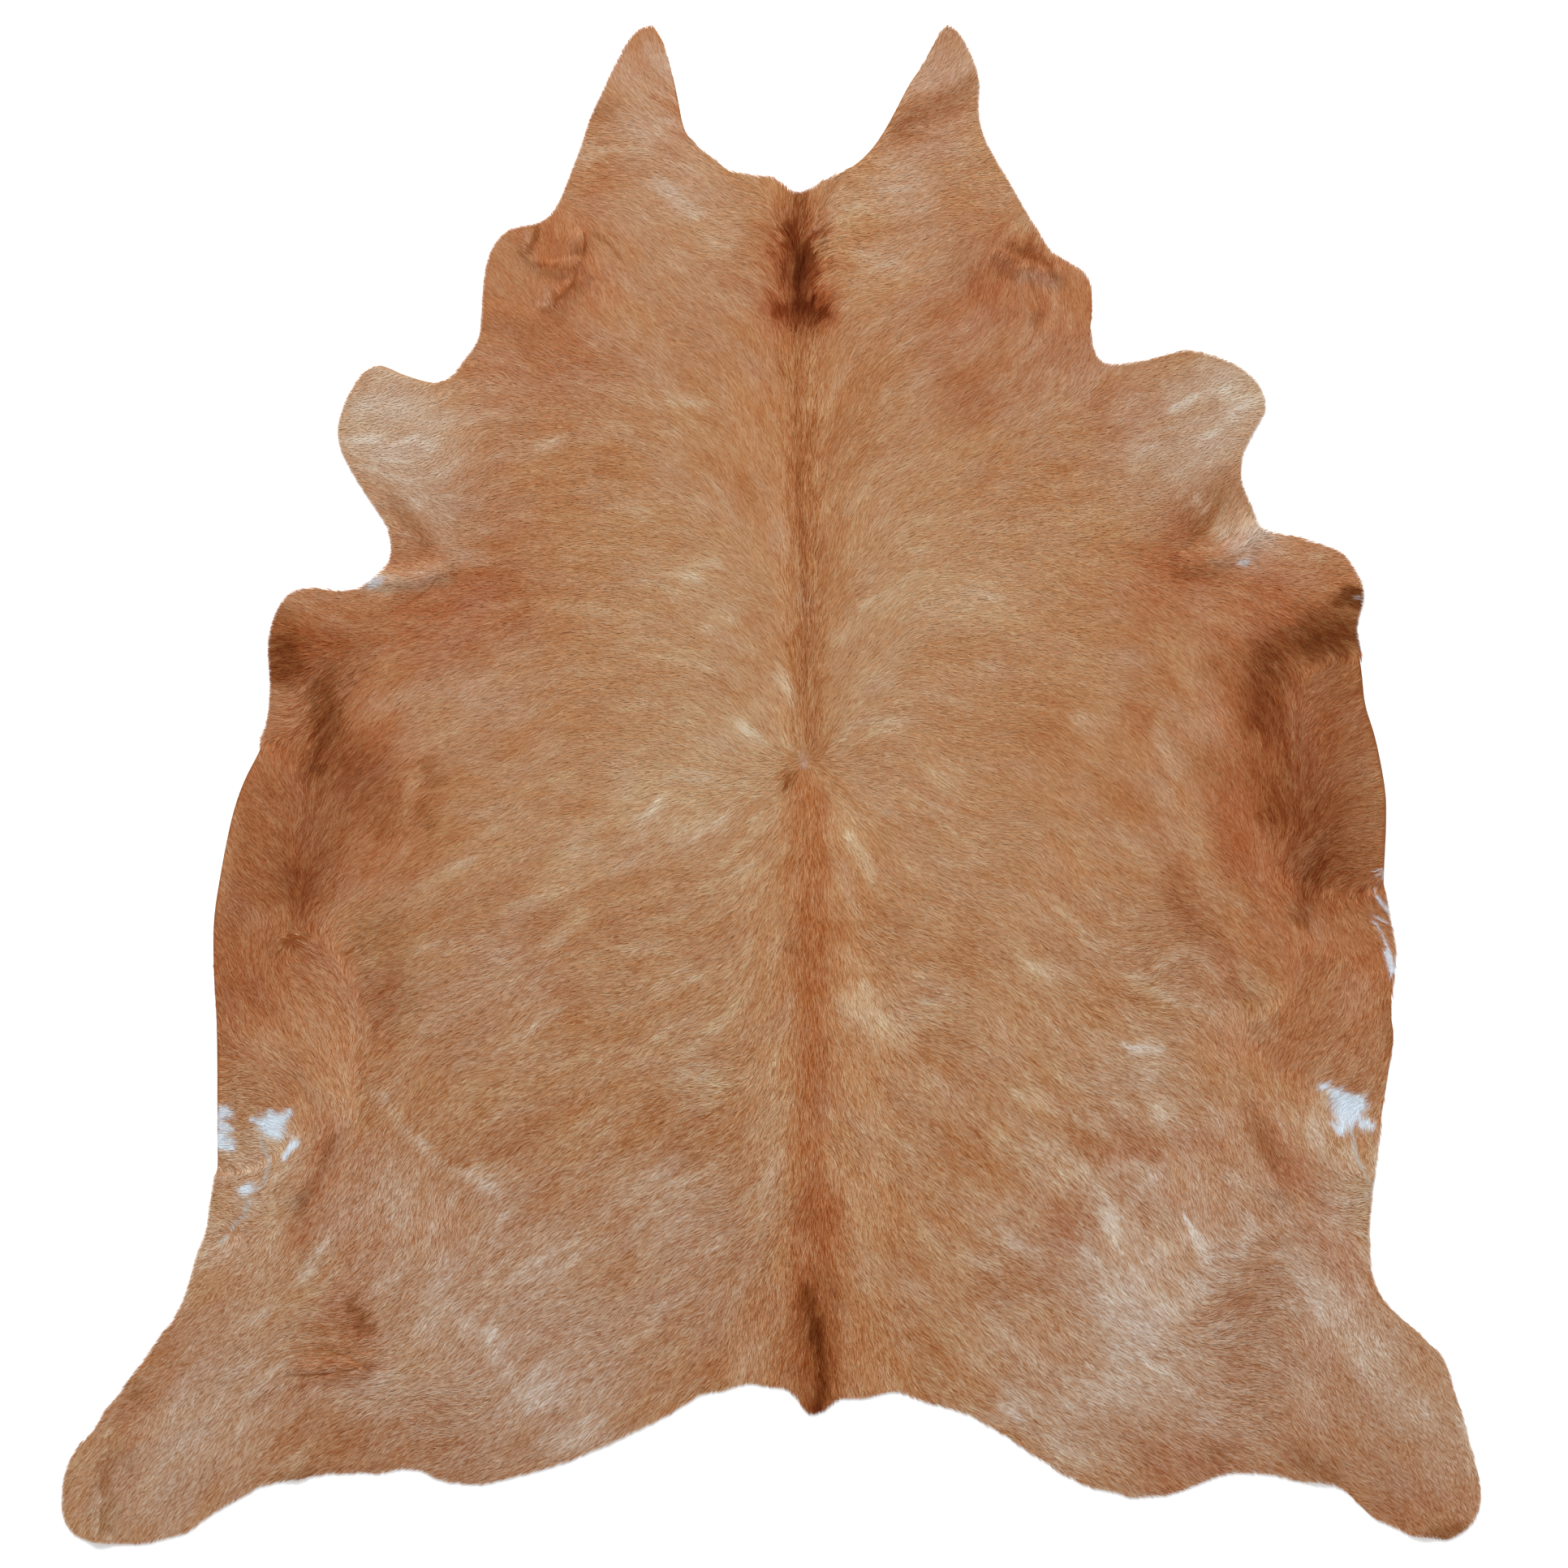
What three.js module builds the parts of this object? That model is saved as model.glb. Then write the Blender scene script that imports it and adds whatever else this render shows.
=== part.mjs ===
// Cowhide rug: one whole tanned hide with its hair on, laid out flat with the hair side up.
//
// Millimetres. +Z is up and the floor is z = 0. +Y runs from the tail towards the neck, X runs
// across the back, and the origin is under the middle of the hide's box. The rug is a single
// sheet, skin and lying coat together. It thins towards its cut rim, lies flat on the floor,
// and is lifted a few millimetres where the hide holds a fold.

import * as THREE from 'three';

// The sheet's thickness: skin and coat in the body, thinner where the coat ends at the rim.
const SKIN = 2.0;
const LYING_COAT = 3.5;
const RIM_THICKNESS = 3.0;
const RIM_TAPER = 40;

// Spacing of the mesh's points: along the rim, in a row just inside it, and over the field.
const RIM_STEP = 17;
const INNER_ROW = 20;
const FIELD_STEP = 60;
const LEAST_GAP = 11;

// The rim, anticlockwise seen from above, in named stretches. Each row is one point: [x, y].
const RIM = {
  neckNotch: [
    [46, 871], [24, 875], [7, 893], [-6, 895], [-54, 901], [-78, 918], [-107, 942], [-127, 966],
  ],
  leftNeckPoint: [
    [-132, 988], [-142, 1038], [-156, 1086], [-167, 1109], [-180, 1121], [-190, 1117], [-204, 1106],
    [-222, 1076], [-241, 1037], [-264, 990], [-280, 942], [-301, 887], [-318, 848],
  ],
  leftCheek: [
    [-336, 832], [-350, 826], [-389, 817], [-408, 798], [-420, 767], [-426, 714], [-430, 666],
    [-439, 643], [-454, 622], [-468, 601],
  ],
  leftBrisket: [
    [-480, 596], [-498, 593], [-542, 605], [-581, 620], [-600, 610], [-619, 584], [-635, 548],
    [-641, 520], [-635, 491], [-612, 450], [-588, 413], [-569, 386], [-562, 354], [-564, 324],
    [-576, 311], [-595, 295],
  ],
  leftKnee: [
    [-614, 284], [-678, 287], [-706, 281], [-726, 263], [-739, 228], [-743, 192], [-740, 150],
    [-743, 102], [-756, 54], [-780, 6], [-797, -42], [-817, -140],
  ],
  leftBelly: [
    [-826, -204], [-826, -282], [-822, -354], [-821, -522], [-821, -574], [-829, -618],
    [-836, -666], [-850, -702], [-854, -721], [-877, -786], [-896, -810], [-930, -860],
  ],
  leftHindFoot: [
    [-948, -882], [-961, -902], [-983, -928], [-1001, -956], [-1022, -978], [-1036, -1002],
    [-1044, -1026], [-1047, -1052], [-1047, -1079], [-1040, -1099], [-1030, -1111],
    [-1012, -1120], [-960, -1124], [-924, -1123], [-905, -1117], [-859, -1104], [-848, -1094],
    [-780, -1051], [-719, -1028],
  ],
  leftButtEdge: [
    [-701, -1029], [-660, -1018], [-625, -1019], [-604, -1015], [-583, -1020], [-554, -1012],
    [-521, -1012], [-493, -1027], [-438, -1034], [-407, -1033], [-390, -1027], [-324, -1009],
    [-246, -978], [-139, -924], [-98, -899], [-68, -897], [-52, -889], [-24, -887], [-6, -892],
    [20, -894],
  ],
  tail: [
    [36, -902], [54, -928], [62, -933], [73, -929], [97, -910], [138, -909],
  ],
  rightButtEdge: [
    [170, -900], [192, -899], [235, -915], [270, -923], [326, -953], [420, -1013], [472, -1040],
    [496, -1043], [536, -1055], [552, -1051], [583, -1051], [636, -1032], [676, -1018],
    [720, -1018], [742, -1020], [780, -1030], [802, -1031], [835, -1037], [864, -1063],
    [889, -1087],
  ],
  rightHindFoot: [
    [922, -1098], [942, -1110], [988, -1116], [1000, -1119], [1020, -1109], [1032, -1099],
    [1043, -1081], [1048, -1043], [1045, -1025], [1030, -968], [1010, -902], [1000, -869],
    [989, -845], [948, -804], [913, -773], [897, -750],
  ],
  rightBelly: [
    [885, -719], [883, -684], [892, -570], [912, -440], [922, -372], [918, -344], [919, -300],
    [921, -258], [919, -232], [908, -176], [911, -54], [910, -14], [895, 67], [880, 117],
    [874, 171],
  ],
  rightKnee: [
    [868, 201], [864, 229], [874, 273], [871, 295], [846, 335], [829, 345], [768, 365],
    [732, 371], [719, 381], [706, 416], [696, 438], [693, 458],
  ],
  rightBrisket: [
    [696, 485], [709, 513], [731, 556], [729, 572], [716, 595], [696, 612], [672, 625],
    [616, 639], [588, 635], [564, 627],
  ],
  rightCheek: [
    [526, 618], [493, 619], [479, 630], [473, 654], [476, 712], [472, 738], [460, 755],
    [446, 765], [409, 788], [397, 809],
  ],
  rightNeckPoint: [
    [347, 894], [319, 943], [310, 965], [305, 988], [304, 1044], [293, 1078], [276, 1110],
    [263, 1121], [247, 1106], [228, 1070], [205, 1038], [173, 978], [150, 942], [126, 918],
    [84, 892],
  ],
};

// The folds that the hide keeps: how far each lifts the sheet, how far its side reaches, and
// the points [x, y] that its crest runs through. One point alone is a round lump.
const FOLDS = [
  { name: 'left notch fold', lift: 8, reach: 26, crest: [[-590, 303], [-545, 303], [-488, 312]] },
  { name: 'left cheek roll', lift: 5, reach: 20, crest: [[-368, 800], [-352, 772], [-324, 761], [-284, 766]] },
  { name: 'left cheek lump', lift: 5, reach: 26, crest: [[-286, 800]] },
  { name: 'left cheek slant', lift: 4, reach: 18, crest: [[-276, 752], [-318, 706]] },
  { name: 'left cheek drop', lift: 4, reach: 17, crest: [[-336, 736], [-332, 706]] },
  { name: 'left cheek foot', lift: 4, reach: 30, crest: [[-410, 690], [-360, 678]] },
  { name: 'right cheek roll', lift: 6, reach: 24, crest: [[338, 776], [376, 762], [424, 750]] },
  { name: 'right cheek slant', lift: 5, reach: 20, crest: [[370, 752], [384, 716], [392, 694]] },
  { name: 'right notch fold', lift: 7, reach: 28, crest: [[712, 372], [678, 340], [616, 322]] },
  { name: 'right notch dip', lift: 4, reach: 30, crest: [[662, 430], [640, 396], [600, 372]] },
  { name: 'left knee fold', lift: 5, reach: 34, crest: [[-738, 222], [-690, 206], [-650, 176]] },
  { name: 'right knee fold', lift: 6, reach: 34, crest: [[872, 284], [820, 262], [770, 232]] },
  { name: 'left elbow fold', lift: 6, reach: 28, crest: [[-636, 144], [-660, 84], [-676, 32]] },
  { name: 'left flank fold', lift: 4, reach: 44, crest: [[-688, 10], [-700, -90], [-712, -226]] },
  { name: 'right flank fold', lift: 5, reach: 44, crest: [[762, 150], [754, 40], [768, -70], [794, -178]] },
  { name: 'left stifle fold', lift: 6, reach: 26, crest: [[-684, -424], [-652, -492], [-664, -552], [-694, -606]] },
  { name: 'right stifle fold', lift: 5, reach: 28, crest: [[712, -484], [728, -530], [748, -602]] },
  { name: 'left foot fold', lift: 6, reach: 24, crest: [[-988, -1036], [-991, -1080], [-991, -1122]] },
  { name: 'left haunch fold', lift: 4, reach: 26, crest: [[-690, -868], [-612, -870]] },
  { name: 'left butt lip', lift: 4, reach: 24, crest: [[-704, -1028], [-690, -1000]] },
  { name: 'right butt lip', lift: 4, reach: 26, crest: [[812, -1032], [800, -1000]] },
  { name: 'right foot lip', lift: 4, reach: 26, crest: [[966, -1116], [950, -1088]] },
  { name: 'backbone', lift: 3, reach: 46, crest: [[42, 860], [46, 640], [52, 36], [60, -890]] },
  { name: 'hump', lift: 4, reach: 40, crest: [[42, 790], [44, 700]] },
];

// A smooth curve through the points of a crest or, closed, of the rim.
function curveThrough(points, closed) {
  const path = points.map(([x, y]) => new THREE.Vector3(x, y, 0));
  const curve = new THREE.CatmullRomCurve3(path, closed, 'centripetal');
  curve.arcLengthDivisions = points.length * 20;
  return curve;
}

// Even samples of a curve, at most a step apart, each a place with its unit direction.
function walk(curve, step) {
  const count = Math.max(1, Math.ceil(curve.getLength() / step));
  const places = [];
  for (let i = 0; i < (curve.closed ? count : count + 1); i += 1) {
    const place = curve.getPointAt(i / count);
    const heading = curve.getTangentAt(i / count);
    places.push({ x: place.x, y: place.y, dx: heading.x, dy: heading.y });
  }
  return places;
}

// A place moved along its direction and to the left of it.
function stepAside(place, along, left) {
  const { x, y, dx, dy } = place;
  return { ...place, x: x + dx * along - dy * left, y: y + dy * along + dx * left };
}

// Distance from a place to the straight piece between two others.
function distanceToPiece(x, y, a, b) {
  const length2 = (b.x - a.x) ** 2 + (b.y - a.y) ** 2;
  const along = length2 ? ((x - a.x) * (b.x - a.x) + (y - a.y) * (b.y - a.y)) / length2 : 0;
  const t = THREE.MathUtils.clamp(along, 0, 1);
  return Math.hypot(x - a.x - t * (b.x - a.x), y - a.y - t * (b.y - a.y));
}

// Distance from a place to a chain of places, closed or open.
function distanceToChain(x, y, chain, closed) {
  let nearest = chain.length === 1 ? Math.hypot(x - chain[0].x, y - chain[0].y) : Infinity;
  const last = closed ? chain.length : chain.length - 1;
  for (let i = 0; i < last; i += 1) {
    const next = chain[(i + 1) % chain.length];
    nearest = Math.min(nearest, distanceToPiece(x, y, chain[i], next));
  }
  return nearest;
}

// Whether a place is inside the closed rim: a ray along +X crosses it an odd number of times.
function insideRim(x, y, rim) {
  let inside = false;
  for (let i = 0, j = rim.length - 1; i < rim.length; j = i, i += 1) {
    const spans = rim[i].y > y !== rim[j].y > y;
    const across = ((rim[j].x - rim[i].x) * (y - rim[i].y)) / (rim[j].y - rim[i].y) + rim[i].x;
    if (spans && x < across) {
      inside = !inside;
    }
  }
  return inside;
}

// Each fold with its crest sampled, so that distances to it are quick.
function sampledFolds() {
  return FOLDS.map((fold) => {
    if (fold.crest.length === 1) {
      const [[x, y]] = fold.crest;
      return { ...fold, chain: [{ x, y, dx: 1, dy: 0 }] };
    }
    return { ...fold, chain: walk(curveThrough(fold.crest, false), fold.reach) };
  });
}

// How far the sheet's underside is lifted: each fold is a round-topped ridge that ends level.
function liftAt(x, y, folds) {
  let lift = 0;
  for (const fold of folds) {
    const share = distanceToChain(x, y, fold.chain, false) / fold.reach;
    if (share < 1) {
      lift += (fold.lift * (1 + Math.cos(Math.PI * share))) / 2;
    }
  }
  return lift;
}

// Thickness of skin and coat: thin at the rim, full past the taper.
function thicknessAt(x, y, rim) {
  const share = THREE.MathUtils.smoothstep(distanceToChain(x, y, rim, true), 0, RIM_TAPER);
  return THREE.MathUtils.lerp(RIM_THICKNESS, SKIN + LYING_COAT, share);
}

// The sheet's points: the rim, a row inside it, rows along each fold, and a field of
// staggered rows over the rest. A point too close to one already there is left out.
function sheetPoints(rim, folds) {
  const points = rim.map(({ x, y }) => ({ x, y }));
  const offer = (x, y, gap, rimGap) => {
    if (!insideRim(x, y, rim) || distanceToChain(x, y, rim, true) < rimGap) {
      return;
    }
    if (points.every((point) => Math.hypot(point.x - x, point.y - y) >= gap)) {
      points.push({ x, y });
    }
  };
  rim.forEach((place, i) => {
    if (i % 2 === 0) {
      const { x, y } = stepAside(place, 0, INNER_ROW);
      offer(x, y, INNER_ROW * 0.9, INNER_ROW * 0.8);
    }
  });
  for (const { reach, chain } of folds) {
    const gap = Math.max(LEAST_GAP, reach * 0.45);
    const run = [stepAside(chain[0], -reach, 0), ...chain, stepAside(chain.at(-1), reach, 0)];
    for (const across of [0, -0.5, 0.5, -1, 1]) {
      for (const place of run) {
        const { x, y } = stepAside(place, 0, across * reach);
        offer(x, y, gap, LEAST_GAP);
      }
    }
  }
  const rowStep = FIELD_STEP * Math.sin(Math.PI / 3);
  const box = new THREE.Box2().setFromPoints(rim);
  for (let y = box.min.y, row = 0; y < box.max.y; y += rowStep, row += 1) {
    const stagger = (row % 2) * (FIELD_STEP / 2);
    for (let x = box.min.x + stagger; x < box.max.x; x += FIELD_STEP) {
      offer(x, y, FIELD_STEP * 0.6, INNER_ROW * 1.6);
    }
  }
  return points;
}

// A triangle of three points with the circle through them.
function circled(points, a, b, c) {
  const [p, q, r] = [points[a], points[b], points[c]];
  const [qx, qy, rx, ry] = [q.x - p.x, q.y - p.y, r.x - p.x, r.y - p.y];
  const twice = 2 * (qx * ry - qy * rx);
  const ux = (ry * (qx * qx + qy * qy) - qy * (rx * rx + ry * ry)) / twice;
  const uy = (qx * (rx * rx + ry * ry) - rx * (qx * qx + qy * qy)) / twice;
  return { corners: [a, b, c], x: p.x + ux, y: p.y + uy, radius2: ux * ux + uy * uy };
}

// The triangles that join the points so that no point lies in another triangle's circle. The
// points go in one by one: the triangles whose circle holds a point make way for a fan on it.
function joinPoints(points) {
  const far = 1e5;
  const corner = points.length;
  const all = [...points, { x: -far, y: -far }, { x: far, y: -far }, { x: 0, y: far }];
  let triangles = [circled(all, corner, corner + 1, corner + 2)];
  for (let i = 0; i < corner; i += 1) {
    const { x, y } = points[i];
    const kept = [];
    const edges = new Map();
    for (const triangle of triangles) {
      if ((x - triangle.x) ** 2 + (y - triangle.y) ** 2 >= triangle.radius2) {
        kept.push(triangle);
        continue;
      }
      const [a, b, c] = triangle.corners;
      for (const [from, to] of [[a, b], [b, c], [c, a]]) {
        if (!edges.delete(`${to},${from}`)) {
          edges.set(`${from},${to}`, [from, to]);
        }
      }
    }
    for (const [from, to] of edges.values()) {
      kept.push(circled(all, from, to, i));
    }
    triangles = kept;
  }
  return triangles.map(({ corners }) => corners).filter((corners) => Math.max(...corners) < corner);
}

// Only the triangles whose middle is inside the rim, and a check that the rim is all there.
function trimToRim(triangles, points, rim) {
  const middle = (corners, key) => corners.reduce((sum, i) => sum + points[i][key], 0) / 3;
  const inside = triangles.filter((t) => insideRim(middle(t, 'x'), middle(t, 'y'), rim));
  const edges = new Set(inside.flatMap(([a, b, c]) => [`${a},${b}`, `${b},${c}`, `${c},${a}`]));
  rim.forEach((_, i) => {
    const next = (i + 1) % rim.length;
    if (!edges.has(`${i},${next}`)) {
      throw new Error(`the rim is broken between its samples ${i} and ${next}`);
    }
  });
  return inside;
}

// The closed sheet: an underside, a top one thickness above it, and a wall around the rim.
function hideGeometry() {
  const rim = walk(curveThrough(Object.values(RIM).flat(), true), RIM_STEP);
  const folds = sampledFolds();
  const points = sheetPoints(rim, folds);
  const triangles = trimToRim(joinPoints(points), points, rim);
  const under = points.map(({ x, y }) => [x, y, liftAt(x, y, folds)]);
  const over = under.map(([x, y, z]) => [x, y, z + thicknessAt(x, y, rim)]);
  const top = points.length;
  const faces = [];
  for (const [a, b, c] of triangles) {
    faces.push(a, c, b);
    faces.push(top + a, top + b, top + c);
  }
  rim.forEach((_, i) => {
    const next = (i + 1) % rim.length;
    faces.push(i, next, top + next);
    faces.push(i, top + next, top + i);
  });
  const geometry = new THREE.BufferGeometry();
  geometry.setAttribute('position', new THREE.Float32BufferAttribute([...under, ...over].flat(), 3));
  geometry.setIndex(faces);
  geometry.computeVertexNormals();
  return centredOnFloor(geometry);
}

// The geometry moved sideways so that its box stands over the origin.
function centredOnFloor(geometry) {
  geometry.computeBoundingBox();
  const middle = geometry.boundingBox.getCenter(new THREE.Vector3());
  return geometry.translate(-middle.x, -middle.y, 0);
}

const rug = new THREE.Group();
rug.name = 'cowhide_rug';

const hide = new THREE.Mesh(
  hideGeometry(),
  new THREE.MeshStandardMaterial({ color: 0xb9875f, roughness: 0.8, metalness: 0 }),
);
hide.name = 'hide';
rug.add(hide);

export default rug;
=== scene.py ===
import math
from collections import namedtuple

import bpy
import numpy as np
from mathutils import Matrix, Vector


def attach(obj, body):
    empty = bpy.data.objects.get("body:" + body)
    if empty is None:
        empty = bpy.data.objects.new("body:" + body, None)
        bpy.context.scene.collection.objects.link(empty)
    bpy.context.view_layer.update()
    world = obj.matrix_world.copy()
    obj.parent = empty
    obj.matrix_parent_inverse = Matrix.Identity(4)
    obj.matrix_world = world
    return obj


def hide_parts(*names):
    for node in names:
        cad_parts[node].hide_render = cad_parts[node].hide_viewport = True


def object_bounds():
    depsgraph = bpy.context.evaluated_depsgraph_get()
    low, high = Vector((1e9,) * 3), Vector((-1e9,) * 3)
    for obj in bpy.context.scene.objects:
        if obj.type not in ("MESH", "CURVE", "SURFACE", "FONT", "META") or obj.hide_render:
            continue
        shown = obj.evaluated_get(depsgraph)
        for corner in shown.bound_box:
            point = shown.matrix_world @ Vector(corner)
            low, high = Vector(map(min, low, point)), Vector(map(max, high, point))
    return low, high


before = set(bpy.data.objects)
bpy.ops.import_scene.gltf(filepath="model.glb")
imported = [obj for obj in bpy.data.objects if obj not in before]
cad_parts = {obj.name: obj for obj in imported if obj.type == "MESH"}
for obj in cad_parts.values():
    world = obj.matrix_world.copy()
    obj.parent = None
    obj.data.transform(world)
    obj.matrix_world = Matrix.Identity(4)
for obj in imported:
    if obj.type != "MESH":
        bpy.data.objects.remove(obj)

# Cowhide rug: one tanned hide laid flat with its short hair up. The hide is a thin leather sheet
# on the folds of the CAD solid. The coat is about 780 thousand thin strands of hair that lie on
# it, each a narrow sliver from its root in the skin to its tip. Metres throughout, unless a
# comment says otherwise: +Y runs from the tail to the neck, +Z is up and the floor is z = 0.

cad_low, cad_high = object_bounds()

# Places on the hide are read off a ruler laid over it: steps across from its left side and down
# from its neck end. A step is 1.2 mm, and MIDDLE is the place over the frame's origin.
STEP = 0.0012
MIDDLE = (950.4, 966.1)
FRAME_STEPS = 1932

# The leather: its thickness, the least share of it left under a crease, the cell of its grid,
# and how far its cut edge stands back from the rim. A grid point closer to the rim than
# SNAP_SHARE of a cell is moved onto the edge.
SKIN = 0.0022
THINNEST = 0.35
SKIN_CELL = 0.0100
SKIN_SETBACK = 0.0016
SNAP_SHARE = 0.4

# The strands: how far the outermost roots stand back from the rim, the spacing of the roots,
# length and width, how far the waist is raised or lowered at random, how deep the root sits in
# the skin, how high the tip stands, and how far a tip may pass the rim.
COAT_SETBACK = 0.0006
STRAND_SPACING = 0.00196
STRAND_LENGTH = 0.0175
STRAND_WIDTH = 0.00128
STRAND_TILT = 0.00016
ROOT_DEPTH = 0.0002
TIP_RISE = (0.0012, 0.0026)
OVERHANG = 0.0009
ROOT_SEED = 41
STRAND_SEED = 50

# What short hair loses and long hair gains in length, the shares that length and width vary
# by, how far a strand is swung and bent in degrees, the shares of OVERHANG that it keeps, and
# the least shares of its length and rise that are left when it is cut short.
SHORT_LOSS = 0.5
LONG_GAIN = 0.4
SIZE_SPREAD = (0.7, 1.3)
SWING = 9.0
BEND = 5.0
OVERHANG_SPREAD = (0.1, 1.0)
LEAST_KEPT = 0.15
LEAST_RISE = 0.4
# A strand cut short keeps this share of its width, and the rest in proportion to its length.
CUT_WIDTH = 0.75
# The waist lies at these shares of root, middle and tip, and at this share of the tip's rise.
WAIST = (0.4, 0.5, 0.1)
WAIST_RISE = 0.35
# Where along a strand its colour is read, as shares of the way from root to tip.
SEEN_AT = (0.35, 0.85)
# A place is in a slit where the slit's mark is stronger than this.
SLIT_EDGE = 0.35

# Where the rump's coat begins and how far down it takes over, in ruler steps.
HIND_FROM = 900
HIND_RISE = 600


def at(places):
    """Places on the ruler in metres: X grows across from MIDDLE, and Y grows up from it."""
    places = np.asarray(places, float)
    x = (places[..., 0] - MIDDLE[0]) * STEP
    y = (MIDDLE[1] - places[..., 1]) * STEP
    return np.stack([x, y], axis=-1)


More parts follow.
